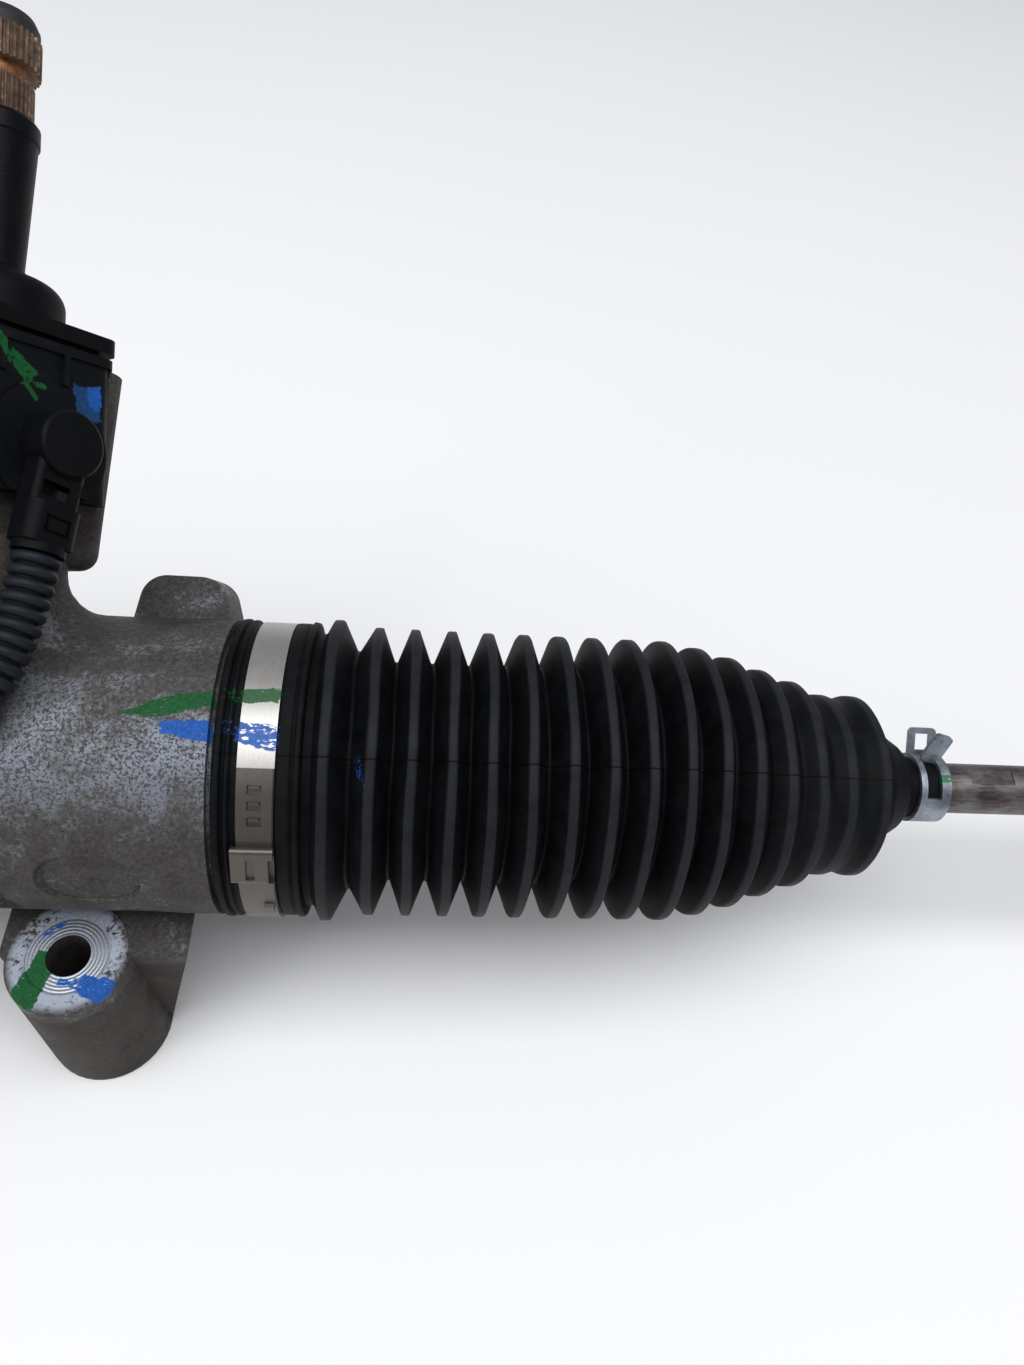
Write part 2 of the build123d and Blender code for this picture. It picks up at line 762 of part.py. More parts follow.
def motor_case():
    flange = prism_x(motor_flange_outline(), plate_x, plate_x + motor_flange_thick)
    body = turned_x([
        (plate_x, 0), (plate_x, motor_r - 5), (plate_x + motor_neck, motor_r - 5),
        (plate_x + motor_neck + 2, motor_r), (motor_end_x - 1.5, motor_r), (motor_end_x, motor_r - 1.5),
        (motor_end_x, 0),
    ])
    spigot = rod_x(plate_x - 5, plate_x + 1, motor_pulley_r + 6 - slip_gap)
    front = plate_x + motor_front_wall
    room_end = motor_end_x - motor_end_wall
    inside = turned_x([
        (plate_x - 6, 0), (plate_x - 6, motor_shaft_r + 3), (plate_x + 1, motor_shaft_r + 3),
        (plate_x + 1, motor_shaft_r + running_gap), (front, motor_shaft_r + running_gap),
        (front, motor_r - motor_wall - 6), (plate_x + motor_room_start, motor_r - motor_wall),
        (room_end, motor_r - motor_wall), (room_end, motor_shaft_r + running_gap),
        (motor_end_x - 4, motor_shaft_r + running_gap), (motor_end_x - 4, 0),
    ])
    body = body + flange + spigot - inside
    for y, z in motor_bolt_places():
        body -= Pos(0, y, z) * rod_x(plate_x - 1, plate_x + motor_flange_thick + 1, 3 + slip_gap)
    return MOTOR * body


def stator_start():
    room = motor_length - motor_room_start - motor_end_wall
    return plate_x + motor_room_start + (room - stator_length) / 2


def motor_stator():
    start = stator_start()
    core = prism_x(Circle(motor_r - motor_wall - slip_gap) - Circle(rotor_r + air_gap), start,
                   start + stator_length)
    slot = Pos(rotor_r + 7.5, 0) * Rectangle(9, 4)
    slots = [prism_x(Rot(0, 0, 30 * i) * slot, start - 1, start + stator_length + 1) for i in range(12)]
    return MOTOR * (core - slots)


def motor_rotor():
    shaft = rod_x(belt_x - 2, motor_end_x - 4.5, motor_shaft_r)
    start = stator_start()
    return MOTOR * (shaft + rod_x(start, start + stator_length, rotor_r))


def pulley(radius, teeth, bore):
    """A toothed belt pulley, flangeless as the belt is guided by the case."""
    width = 0.5 * belt_pitch
    groove = Pos(radius, 0) * Rectangle(2 * belt_tooth_depth, width)
    section = Circle(radius) - Circle(bore)
    section -= [Rot(0, 0, 360 * i / teeth) * groove for i in range(teeth)]
    return prism_x(section, belt_x, belt_x + belt_width)


def drive_belt():
    """The belt loop, clear of both pulleys by the soft gap."""
    def loop(extra):
        big = Circle(nut_pulley_r + extra)
        small = Pos(motor_dir.Y * motor_distance, motor_dir.Z * motor_distance) * Circle(
            motor_pulley_r + extra)
        return make_hull(big.edges() + small.edges())
    section = loop(soft_gap + belt_thick) - loop(soft_gap)
    return RACK * prism_x(section, belt_x + 1, belt_x + belt_width - 1)


def ball_nut():
    start = nut_centre_x - nut_half_length
    end = nut_centre_x + nut_half_length
    body = turned_x([
        (start, rack_r + running_gap), (end, rack_r + running_gap), (end, nut_r - 1), (end - 1, nut_r),
        (case_joint_x + nut_bearing_width, nut_r), (case_joint_x + nut_bearing_width, race_r),
        (case_joint_x, race_r), (case_joint_x, nut_r), (start + 1, nut_r), (start, nut_r - 1),
    ])
    return RACK * body


def nut_bearing():
    """The angular contact bearing's outer ring with its seals, round the race on the nut."""
    start = case_joint_x + 0.5
    end = case_joint_x + nut_bearing_width + 1
    low = race_r + 2.5
    high = nut_bearing_r - 2.5
    ring = turned_x([
        (start, race_r + running_gap), (end - 0.5, race_r + running_gap), (end - 0.5, low),
        (end - 1.2, low + 0.5), (end - 1.2, high - 0.5), (end, high), (end, nut_bearing_r),
        (start, nut_bearing_r), (start, high), (start + 0.8, high - 0.5), (start + 0.8, low + 0.5),
        (start, low),
    ])
    return RACK * ring


def rack_bush():
    outer = rack_bore_r + 0.5 - slip_gap
    start = bush_depth - stop_seat_x
    return RACK * tube_x(start, start + bush_length, outer, rack_r + running_gap)


def end_stop():
    face = rack_half_length - rack_travel - soft_gap
    return RACK * turned_x([
        (stop_seat_x, rack_r + 1), (face - 4, rack_r + 1), (face - 3, rack_r + 2), (face, rack_r + 2),
        (face, socket_r + 2), (face - 3, end_bore_r - 4), (face - 3, end_bore_r),
        (stop_seat_x, end_bore_r),
    ])


def yoke():
    body = rod_z(liner_thick, yoke_back, yoke_r)
    saddle = rod_x(-yoke_r - 1, yoke_r + 1, rack_r + running_gap + liner_thick + slip_gap)
    spring_room = rod_z(yoke_back - 6, yoke_back + 1, 9)
    rings = tube_z(yoke_back - 5, yoke_back - 3, yoke_r + 1, yoke_r - 0.8)
    body = (body - saddle) & rod_z(rack_r * 0.4, yoke_back, yoke_r)
    return YOKE * (body - spring_room - rings)


def yoke_liner():
    """The thin sliding foil between yoke and rack."""
    inner = rack_r + running_gap
    shell = tube_x(-11, 11, inner + liner_thick, inner)
    return YOKE * (shell & rod_z(rack_r * 0.55, yoke_back, yoke_r - 1.5))


def yoke_springs():
    """Four disc springs, stacked in pairs back to back."""
    springs = []
    step = (yoke_plug_z - yoke_back + 6) / 4
    for i in range(4):
        low = yoke_back - 6 + i * step
        rise = 1.7 if i % 2 == 0 else -1.7
        base = low + (0 if rise > 0 else 1.7)
        springs.append(YOKE * turned_z([
            (8.6, base), (4.6, base + rise), (4.6, base + rise + 1.4), (8.6, base + 1.4)]))
    return springs


def yoke_plug():
    plug = rod_z(yoke_plug_z + 6.6, yoke_plug_z + 6.6 + yoke_plug_thick, plug_thread_r)
    hexagon = RegularPolygon(plug_hex / 2, 6, major_radius=False)
    low = yoke_plug_z + 6.6
    plug += rod_z(yoke_plug_z, low, 8.6)
    socket = prism_z(hexagon, low + 2, low + yoke_plug_thick + 1)
    return YOKE * (plug - socket)


def bearing_ring(start, outer, inner):
    """A sealed ball bearing as one ring, with its seal recesses."""
    end = start + bearing_width
    third = (outer - inner) / 3
    return TOWER * turned_z([
        (inner, start), (inner, end), (inner + third, end), (inner + third + 0.3, end - 0.8),
        (outer - third - 0.3, end - 0.8), (outer - third, end), (outer, end), (outer, start),
        (outer - third, start), (outer - third - 0.3, start + 0.8), (inner + third + 0.3, start + 0.8),
        (inner + third, start),
    ])


def pinion_end_cap():
    cap = rod_z(barrel_bottom, barrel_bottom + cap_thick, cap_r - slip_gap)
    hexagon = RegularPolygon(cap_r / 2, 6, major_radius=False)
    socket = prism_z(hexagon, barrel_bottom - 1, barrel_bottom + cap_thick - 1.5)
    return TOWER * (cap - socket)


def sensor_block(half, start, end):
    """A square plate or block of the sensor stack, with rounded corners."""
    return prism_z(RectangleRounded(2 * half, 2 * half, 3), start, end)


def screw_places():
    place = sensor_half - screw_inset
    return [(-place, -place), (-place, place), (place, -place)]


def sensor_body():
    body = sensor_block(sensor_half, sensor_bottom, tower_top)
    disc = Pos(0, plug_y, plug_z) * rod_x(sensor_half - 1, sensor_half + plug_base_thick, plug_base_r)
    face_room = prism_z(Rectangle(80, 2 * sensor_half - 2), sensor_bottom, tower_top)
    body += disc & face_room
    for y in (-9, 6):
        body += Pos(sensor_half, y, tower_top - 3.5) * Box(2.4, 1.3, 7)
    body += sensor_block(flange_half, tower_top, tower_top + flange_thick)
    body += sensor_block(lid_neck_half, tower_top, lid_z)
    body += rod_z(sensor_bottom - sensor_spigot, sensor_bottom + 1, bearing_r)
    body -= rod_z(sensor_bottom - sensor_spigot - 1, lid_z + 1, sensor_bore_r)
    for x, y in screw_places():
        body -= Pos(x, y) * rod_z(lid_z - 8.5, lid_z + 1, screw_r)
    return SENSOR * body


def sensor_cover():
    dome = rod_z(lid_top - 1, dome_top, dome_r)
    dome = fillet(dome.edges().sort_by(Axis.Z)[-1], dome_edge_r)
    cover = sensor_block(lid_half, lid_z, lid_top) + dome
    cover -= rod_z(lid_z - 1, dome_top - 2, seal_r + slip_gap)
    cover -= rod_z(lid_z - 1, dome_top + 1, seal_shaft_r + 0.6)
    for x, y in screw_places():
        cover -= Pos(x, y) * rod_z(lid_z - 1, lid_top + 1, screw_r + slip_gap)
    return SENSOR * cover


def sensor_screws():
    screws = []
    for x, y in screw_places():
        screw = rod_z(lid_z - 8, lid_top, screw_r - slip_gap) + rod_z(lid_top, lid_top + 2, screw_head_r)
        screw -= prism_z(Rectangle(3, 0.8) + Rectangle(0.8, 3), lid_top + 1, lid_top + 3)
        screws.append(SENSOR * Pos(x, y, 0) * screw)
    return screws


def shaft_seal():
    top = dome_top - 2
    low = top - seal_depth
    return TOWER * turned_z([
        (seal_r, low), (seal_r, top), (seal_shaft_r + 1, top), (seal_shaft_r + 1, top - 2),
        (seal_shaft_r + running_gap, top - 3), (seal_shaft_r + running_gap, top - 4),
        (seal_shaft_r + 2, low + 1.5), (seal_r - 1.5, low + 1.5), (seal_r - 1.5, low),
    ])


def leg_frame():
    """The elbow's leg: its origin on the plug's axis and its Z down along the leg."""
    lean = math.radians(leg_tilt)
    middle = (plug_back + plug_front) / 2
    plane = Plane((middle, plug_y, plug_z), (1, 0, 0), (0, -math.sin(lean), -math.cos(lean)))
    return SENSOR * plane.location


def connector_plug():
    front = turned_x([
        (plug_back, 0), (plug_front, 0), (plug_front, plug_r - 0.6), (plug_front - 0.6, plug_r),
        (plug_back, plug_r),
    ])
    head = SENSOR * Pos(0, plug_y, plug_z) * front
    half = (plug_front - plug_back) / 2
    front_x = half - leg_inset
    upper = Pos(-leg_inset / 2, 0, 0) * prism_z(
        RectangleRounded(2 * half - leg_inset, leg_width - 0.8, 1.5), 0, collar_start)
    collar = prism_z(RectangleRounded(leg_depth, leg_width, 3), collar_start, collar_end)
    ring = rod_z(collar_end, leg_end, conduit_r + 0.4)
    thumb = Pos(0, -leg_width / 2, plug_r + 1.4) * Box(4.5, 2.4, 2.8)
    window = Pos(front_x, 0.9, latch_z) * Box(2 * lock_recess, 6.6, 3.4)
    latch = Pos(leg_depth / 2, 0, collar_start + 4.8) * (Box(1.2, 6, 4) - Box(2, 4.4, 2.6))
    return head + leg_frame() * (upper + collar + ring + thumb - window - latch)


def connector_lock():
    front_x = (plug_front - plug_back) / 2 - leg_inset
    return leg_frame() * Pos(front_x - lock_recess + 1.1, -1.1, latch_z + 0.6) * Box(2.2, 2.4, 2.0)


def lead_points():
    """The lead's route from the elbow over the tube to the control unit."""
    start = (leg_frame() * Pos(0, 0, leg_end)).position
    below = (leg_frame() * Pos(0, 0, leg_end + 17)).position
    end = lead_end()
    return [start, below, Vector(221, 29, 119.5), Vector(203, 12, 114), Vector(173, -3, 116),
            Vector(135, -20, 110), end + Vector(34, 0, 0), end]


def lead_end():
    """Where the lead meets its plug on the control unit."""
    return Vector(control_end_x + 23, MOTOR.position.Y + 8, MOTOR.position.Z + 10)


def sensor_lead():
    points = lead_points()
    radii = []
    for before, at, after in zip(points, points[1:], points[2:]):
        into = at - before
        out = after - at
        turn = math.radians(into.get_angle(out))
        radii.append(0.45 * min(into.length, out.length) / math.tan(turn / 2))
    print("lead radii", [round(r, 1) for r in radii])
    path = FilletPolyline(*points, radius=radii)
    start = Plane(points[0], z_dir=points[1] - points[0])
    tube = sweep(start * Circle(conduit_r), path)
    print("lead volume share", round(tube.volume / (math.pi * conduit_r ** 2 * path.length), 4))
    return tube


def lead_plug():
    end = lead_end()
    body = rod_x(-10, -1.5, 9) + rod_x(-1.5, 0, conduit_r + 0.6)
    body += prism_x(RectangleRounded(22, 16, 3), -20, -8)
    return Location(end) * body


def control_unit():
    """The electronics box on the motor's end, with its lead socket and power socket."""
    box = prism_x(RectangleRounded(control_width, control_height, 10), motor_end_x, control_end_x)
    box = fillet(box.faces().sort_by(Axis.X)[0].edges(), 3)
    fins = [prism_x(Pos(0, control_height / 2 - 1.5 + 3) * Pos(-30 + 12 * i, 0) * Rectangle(3, 6),
                    motor_end_x + 6, control_end_x - 6) for i in range(6)]
    end = lead_end() - MOTOR.position
    socket = prism_x(Pos(end.Y, end.Z) * RectangleRounded(26, 20, 3), control_end_x, lead_end().X - 20)
    power = Pos((motor_end_x + control_end_x) / 2, 0, -control_height / 2 - 7)
    shroud = prism_z(RectangleRounded(30, 22, 4) - RectangleRounded(26, 18, 3), -9, 9)
    pins = [Pos(dx, 0, 2) * Box(1.5, 8, 10) for dx in (-6, 6)]
    floor = Pos(0, 0, 7.5) * Box(28, 20, 3)
    return MOTOR * (box + fins + socket + power * (shroud + floor + pins))


def control_unit_cover():
    plate = prism_x(RectangleRounded(control_width - 4, control_height - 4, 9), control_end_x,
                    control_end_x + 2)
    end = lead_end() - MOTOR.position
    plate -= prism_x(Pos(end.Y, end.Z) * RectangleRounded(28, 22, 3), control_end_x - 1, control_end_x + 3)
    return MOTOR * plate


def fold_stations():
    """(x, radius) of every crest, and of the valley before it."""
    crests = []
    valleys = []
    x = fold_start_x
    for i in range(full_folds):
        step = first_pitch if i <= 1 else fold_pitch
        crests.append((x, first_crest_r if i == 0 else crest_r))
        valleys.append((x - step / 2, first_valley_r if i == 1 else valley_r))
        x += first_pitch if i == 0 else fold_pitch
    x += taper_pitch - fold_pitch
    for crest, valley in zip(taper_crests, taper_valleys):
        crests.append((x, crest))
        valleys.append((x - taper_pitch / 2, valley))
        x += taper_pitch
    return crests, valleys


def bellows():
    """The right-hand bellows: cuff, folds, shoulder and neck, as one thin wall."""
    crests, valleys = fold_stations()
    half = crest_land / 2
    outer = [(cuff_lip_x, cuff_bead_r), (cuff_lip_x + 1.6, cuff_bead_r), (cuff_lip_x + 2, cuff_r - 0.5),
             (band_x - 1.2, cuff_r - 0.5), (band_x - 1.2, cuff_r - 0.9),
             (band_x + band_width + 1.2, cuff_r - 0.9), (band_x + band_width + 1.2, cuff_r),
             (band_x + band_width + 5, cuff_bead_r), (fold_start_x - 5.6, cuff_bead_r - 1),
             (fold_start_x - 4.2, first_valley_r + 4)]
    inner = [(cuff_lip_x, seat_r + slip_gap), (end_x + 0.3, seat_r + slip_gap)]
    for i, ((x, r), (vx, vr)) in enumerate(zip(crests, valleys)):
        if i > 0:
            outer.append((vx, vr))
            inner.append((vx, vr - bellows_wall))
        outer.append((x - half, r))
        outer.append((x + half, r))
        inner.append((x, r - bellows_wall))
    last = crests[-1][0]
    outer += [(last + 5.1, bellows_shoulder_r), (last + 11.5, neck_r + 1.6),
              (spring_clamp_x - 1.6, neck_r - 0.4), (neck_end_x - 0.5, neck_r - 0.4),
              (neck_end_x - 0.3, neck_r), (neck_end_x, neck_r)]
    neck_bore = tie_rod_r + running_gap
    inner += [(last + 4.1, bellows_shoulder_r - bellows_wall), (last + 10.3, neck_r + 0.2),
              (last + 13.8, neck_bore), (neck_end_x, neck_bore)]
    return RACK * turned_x(outer + list(reversed(inner)))


def band_clamp():
    """A one-ear band clamp: the band, its overlapping tongue with three windows, and the ear."""
    inner = cuff_r - 0.9 + band_clear
    outer = inner + band_thick
    band = tube_x(band_x, band_x + band_width, outer, inner)
    tongue = tube_x(band_x + 0.2, band_x + band_width - 0.2, outer + band_thick, outer)
    tongue = tongue & sector_x(tongue_angle, tongue_angle + 90, band_x, band_x + band_width)
    middle = band_x + band_width / 2
    for turn in (7.3, 12.8, 18.4):
        window = Pos(middle, outer + 1, 0) * Box(3.3, 4, 2.1)
        catch = Pos(middle, outer, -0.6) * Box(2.2, 2 * band_thick + 0.5, 0.8)
        tongue = tongue - Rot(tongue_angle + turn, 0, 0) * window + Rot(tongue_angle + turn, 0, 0) * catch
    ear = Pos(middle - 0.4, outer + 1.1, 0) * Box(band_width + 1.2, 2.6, 10)
    ear = fillet(ear.edges().filter_by(Axis.X), 1.1)
    ear -= Pos(middle - 0.8, outer + 2.6, 0.6) * Box(2.0, 1.8, 6)
    ear -= Pos(middle + 4.2, outer + 1.6, 1.2) * Box(1.8, 2.4, 7)
    ear -= rod_x(band_x - 2, band_x + band_width + 2, inner)
    hook = Pos(middle + 2.4, outer + 0.8, 0) * Box(2.4, 1.8, 2.4)
    hook -= rod_x(band_x - 2, band_x + band_width + 2, inner)
    ear = Rot(tongue_angle + 34.6, 0, 0) * ear
    return RACK * (band + tongue + ear + Rot(tongue_angle + 59.6, 0, 0) * hook)


def spring_clamp():
    """A spring band clamp: the ring, the window that its narrow end passes, and both bent-up ends."""
    inner = neck_r - 0.4 + band_clear
    outer = inner + spring_clamp_thick
    start = spring_clamp_x
    end = start + spring_clamp_width
    ring = tube_x(start, end, outer, inner)
    middle = (start + end) / 2 - 0.4
    ring -= sector_x(spring_tab_angle, spring_tab_angle + spring_window_turn, start + 1.7, start + 5.9)
    narrow = Pos(0, spring_tab_height / 2, 0) * Box(5.5, spring_tab_height + 1, spring_clamp_thick)
    narrow = Pos(middle, outer, 0) * Rot(0, 0, -16) * fillet(narrow.edges().filter_by(Axis.Z), 1.2)
    wide = Box(spring_clamp_width - 0.6, spring_tab_height, spring_clamp_thick) - Box(4.2, 4.6, 3)
    wide = Pos(middle, outer + spring_tab_height / 2 - 0.6, 0) * fillet(
        wide.edges().filter_by(Axis.Z).group_by(Axis.Y)[-1], 1.4)
    tabs = Rot(spring_tab_angle - 0.5, 0, 0) * narrow + Rot(spring_tab_angle - 28, 0, 0) * wide
    return RACK * (ring + tabs - rod_x(start - 1, end + 1, inner))


def inner_joint():
    """The forged socket screwed on the rack's end, closed over its ball."""
    back = rack_half_length
    body = turned_x([
        (back, 0), (back, socket_r - 1.5), (back + 1.5, socket_r), (socket_lip_x - 5, socket_r),
        (socket_lip_x, socket_r - 3.2), (socket_lip_x, 0),
    ])
    body += rod_x(back - stud_thread_length, back + 1, stud_thread_r)
    body -= Pos(ball_x, 0, 0) * Sphere(ball_r + seat_thick + slip_gap)
    lip_r = ball_r + seat_thick - 0.2
    body -= turned_x([(ball_x, 0), (ball_x, lip_r - 1.4), (socket_lip_x + 1, lip_r), (socket_lip_x + 1, 0)])
    flats = [Pos(back + 5, 0, side * (socket_r + 8.6)) * Box(7, 60, 20) for side in (-1, 1)]
    return RACK * (body - flats)


def joint_seat():
    shell = Sphere(ball_r + seat_thick) - Sphere(ball_r + running_gap)
    keep = rod_x(-ball_r - seat_thick - 1, 4.5, ball_r + seat_thick + 1)
    return RACK * Pos(ball_x, 0, 0) * (shell & keep)


def tie_rod():
    """The inner tie rod: ball, waisted neck, shank with wrench flats, and its threaded end."""
    neck_start = ball_x + math.sqrt(ball_r ** 2 - tie_neck_r ** 2) - 0.5
    shank = turned_x([
        (neck_start, 0), (neck_start, tie_neck_r), (ball_x + 20, tie_neck_r), (ball_x + 32, tie_rod_r),
        (tie_thread_x - 4, tie_rod_r), (tie_thread_x - 2, stud_thread_r), (tie_end_x - 1.5, stud_thread_r),
        (tie_end_x, stud_thread_r - 1.5), (tie_end_x, 0),
    ])
    for turn in (tie_flat_angle, tie_flat_angle + 180):
        flat = Pos((neck_end_x + 7 + neck_end_x + 20) / 2, tie_flat_width / 2 + 5, 0) * Box(13, 10, 30)
        shank -= Rot(turn, 0, 0) * flat
    return RACK * (shank + Pos(ball_x, 0, 0) * Sphere(ball_r))


def lock_nut():
    nut = prism_x(RegularPolygon(lock_nut_hex / 2, 6, major_radius=False), lock_nut_x,
                  lock_nut_x + lock_nut_thick)
    ends = turned_x([
        (lock_nut_x, 0), (lock_nut_x, lock_nut_hex / 2 - 0.2), (lock_nut_x + 1.2, lock_nut_hex / 2 + 2),
        (lock_nut_x + lock_nut_thick - 1.2, lock_nut_hex / 2 + 2),
        (lock_nut_x + lock_nut_thick, lock_nut_hex / 2 - 0.2), (lock_nut_x + lock_nut_thick, 0)])
    return RACK * ((nut & ends) - rod_x(lock_nut_x - 1, lock_nut_x + lock_nut_thick + 1,
                                        stud_thread_r + slip_gap))


def outer_joint():
    """The outer tie rod end: threaded barrel, tapered arm and the ball's eye."""
    start = outer_start_x
    barrel = turned_x([
        (start, 0), (start, outer_barrel_r - 1), (start + 1, outer_barrel_r),
        (tie_end_x + 4, outer_barrel_r), (outer_ball_x - eye_r + 4, outer_barrel_r - 1.5),
        (outer_ball_x, outer_barrel_r - 2), (outer_ball_x, 0),
    ])
    top = eye_half_height
    eye = turned_z([
        (0, -top), (eye_r - 3, -top), (eye_r - 3, -top + 3.5), (eye_r - 1, -top + 5), (eye_r, -4),
        (eye_r, top - 4), (eye_r - 1, top - 2), (eye_r - 4, top), (0, top),
    ])
    body = barrel + Pos(outer_ball_x, 0, 0) * eye
    body -= rod_x(start - 1, tie_end_x + 1, stud_thread_r + slip_gap)
    body -= Pos(outer_ball_x, 0, 0) * Sphere(stud_ball_r + stud_ball_gap)
    mouth = turned_z([(0, -top - 1), (mouth_r, -top - 1), (stud_neck_r + 1.4, -5), (0, -5)])
    return RACK * (body - Pos(outer_ball_x, 0, 0) * mouth)


def ball_stud():
    top = eye_half_height
    stem = turned_z([
        (0, 0), (stud_neck_r - 1, 0), (stud_neck_r - 1, -top - 1), (stud_taper_r + 1.6, -top - 7.5),
        (stud_taper_r + 1.6, -top - 9), (stud_taper_r, -top - 9), (stud_tip_r + 0.6, -top - 25),
        (stud_tip_r, -top - 26), (stud_tip_r, -top - 43), (stud_tip_r - 1, -top - 44), (0, -top - 44),
    ])
    return RACK * Pos(outer_ball_x, 0, 0) * (Sphere(stud_ball_r) + stem)


def stud_nut():
    low = -eye_half_height - 39
    nut = prism_z(RegularPolygon(stud_nut_hex / 2, 6, major_radius=False), low, low + stud_nut_thick)
    collar = rod_z(low + stud_nut_thick - 2, low + stud_nut_thick, stud_nut_hex / 2 + 2)
    return RACK * Pos(outer_ball_x, 0, 0) * (nut + collar - rod_z(low - 1, low + stud_nut_thick + 1,
                                                                 stud_tip_r + slip_gap))


def dust_boot():
    """The rubber boot between the eye and the stud's collar."""
    top = -eye_half_height
    outer = [(eye_r - 2.9 + 1.4, top + 3), (eye_r - 1.5, top), (eye_r + 0.5, top - 3), (eye_r - 1, top - 6.5),
             (stud_taper_r + 4, top - 9), (stud_taper_r + 3.2, top - 8.9)]
    inner = [(stud_taper_r + 2.0, top - 8.9), (stud_taper_r + 2.0, top - 7.4), (eye_r - 3.5, top - 5.5),
             (eye_r - 1.4, top - 3), (eye_r - 2.9, top), (eye_r - 2.9, top + 3)]
    return RACK * Pos(outer_ball_x, 0, 0) * turned_z(outer + inner)


def write(name, *shapes):
    """Writes one node, as one solid or as a group of separate ones."""
    pieces = []
    for shape in shapes:
        pieces += shape if isinstance(shape, list) else [shape]
    solids = [solid for piece in pieces for solid in piece.solids()]
    whole = solids[0] if len(solids) == 1 else Compound(children=solids)
    whole.label = name
    export_step(whole, os.path.join("parts", name + ".step"))


def both_ends(name, shape):
    """The right-hand piece and its mirror image on the left."""
    write(name + "_right", shape)
    write(name + "_left", mirrored(shape))


def main():
    os.makedirs("parts", exist_ok=True)
    write("pinion_housing", pinion_housing())
    write("drive_housing", drive_housing())
    write("housing_bolts", housing_bolts())
    write("motor_case", motor_case())
    write("motor_stator", motor_stator())
    write("motor_bolts", motor_bolts())
    write("motor_rotor", motor_rotor())
    write("motor_pulley", MOTOR * pulley(motor_pulley_r, motor_pulley_teeth, motor_shaft_r + slip_gap))
    write("nut_pulley", RACK * pulley(nut_pulley_r, nut_pulley_teeth, nut_r + slip_gap))
    write("drive_belt", drive_belt())
    write("ball_nut", ball_nut())
    write("nut_bearing", nut_bearing())
    write("control_unit", control_unit())
    write("control_unit_cover", control_unit_cover())
    write("rack_bush", rack_bush())
    write("rack_bar", rack_bar())
    write("pinion_gear", pinion_gear())
    write("torsion_bar", torsion_bar())
    write("input_shaft", input_shaft())
    write("shaft_sleeve", shaft_sleeve())
    write("sensor_rotor", sensor_rotor())
    write("pinion_top_bearing", bearing_ring(top_bearing_z, bearing_r, journal_r + running_gap))
    write("pinion_tip_bearing", bearing_ring(tip_bearing_z, tip_bearing_r, tip_journal_r + running_gap))
    write("pinion_end_cap", pinion_end_cap())
    write("yoke", yoke())
    write("yoke_liner", yoke_liner())
    write("yoke_springs", yoke_springs())
    write("yoke_plug", yoke_plug())
    write("sensor_body", sensor_body())
    write("sensor_cover", sensor_cover())
    write("sensor_screws", sensor_screws())
    write("shaft_seal", shaft_seal())
    write("connector_plug", connector_plug())
    write("connector_lock", connector_lock())
    write("sensor_lead", sensor_lead())
    write("lead_plug", lead_plug())
    both_ends("end_stop", end_stop())
    both_ends("bellows", bellows())
    both_ends("band_clamp", band_clamp())
    both_ends("spring_clamp", spring_clamp())
    both_ends("inner_joint", inner_joint())
    both_ends("joint_seat", joint_seat())
    both_ends("tie_rod", tie_rod())
    both_ends("lock_nut", lock_nut())
    both_ends("outer_joint", outer_joint())
    both_ends("ball_stud", ball_stud())
    both_ends("stud_nut", stud_nut())
    both_ends("dust_boot", dust_boot())


if __name__ == "__main__":
    main()
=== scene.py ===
"""Looks of the steering rack: surfaces, finishes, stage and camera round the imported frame."""

import json
import math

import bpy
import numpy as np
from bpy.props import FloatProperty, FloatVectorProperty, IntProperty, PointerProperty
from mathutils import Matrix, Vector


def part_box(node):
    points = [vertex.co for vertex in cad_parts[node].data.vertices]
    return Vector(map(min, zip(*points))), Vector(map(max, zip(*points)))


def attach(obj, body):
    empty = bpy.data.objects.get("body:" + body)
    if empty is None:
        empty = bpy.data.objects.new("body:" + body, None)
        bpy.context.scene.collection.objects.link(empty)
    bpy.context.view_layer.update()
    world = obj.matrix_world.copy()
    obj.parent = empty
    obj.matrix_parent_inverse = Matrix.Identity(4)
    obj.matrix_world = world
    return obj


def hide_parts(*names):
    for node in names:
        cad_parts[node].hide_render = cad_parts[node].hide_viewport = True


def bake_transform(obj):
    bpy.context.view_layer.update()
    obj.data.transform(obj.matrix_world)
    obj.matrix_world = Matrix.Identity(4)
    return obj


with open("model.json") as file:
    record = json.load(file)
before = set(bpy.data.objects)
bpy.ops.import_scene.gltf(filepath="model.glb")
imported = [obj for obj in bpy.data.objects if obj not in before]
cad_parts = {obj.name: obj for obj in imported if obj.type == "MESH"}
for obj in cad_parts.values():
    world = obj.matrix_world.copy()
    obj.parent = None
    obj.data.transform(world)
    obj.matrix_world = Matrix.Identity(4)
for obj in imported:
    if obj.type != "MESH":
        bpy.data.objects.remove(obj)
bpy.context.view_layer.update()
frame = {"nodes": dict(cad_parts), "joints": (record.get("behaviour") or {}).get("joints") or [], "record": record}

bl_info = {
    "name": "Steering Rack Looks",
    "version": (1, 0, 0),
    "blender": (4, 5, 0),
    "location": "View3D > Sidebar > Steering Rack",
    "description": "Bellows, lead, threads and finishes of a steering rack, with its stage",
    "category": "Object",
}

MM = 0.001
NODES = frame["nodes"]
JOINTS = {joint["name"]: joint for joint in frame["joints"]}

# The rack's axis, the pinion's axis and the feet's bolt holes, as the frame has them
_, RACK_Y, RACK_Z = JOINTS["tie_rod_right_swing"]["pos_m"]
PINION = np.array(JOINTS["pinion_turn"]["pos_m"])
SHAFT = np.array(JOINTS["pinion_turn"]["axis"])
FOOT_X = frame["record"]["mounts"][0]["dims"]["spacing_x_mm"] / 2 * MM

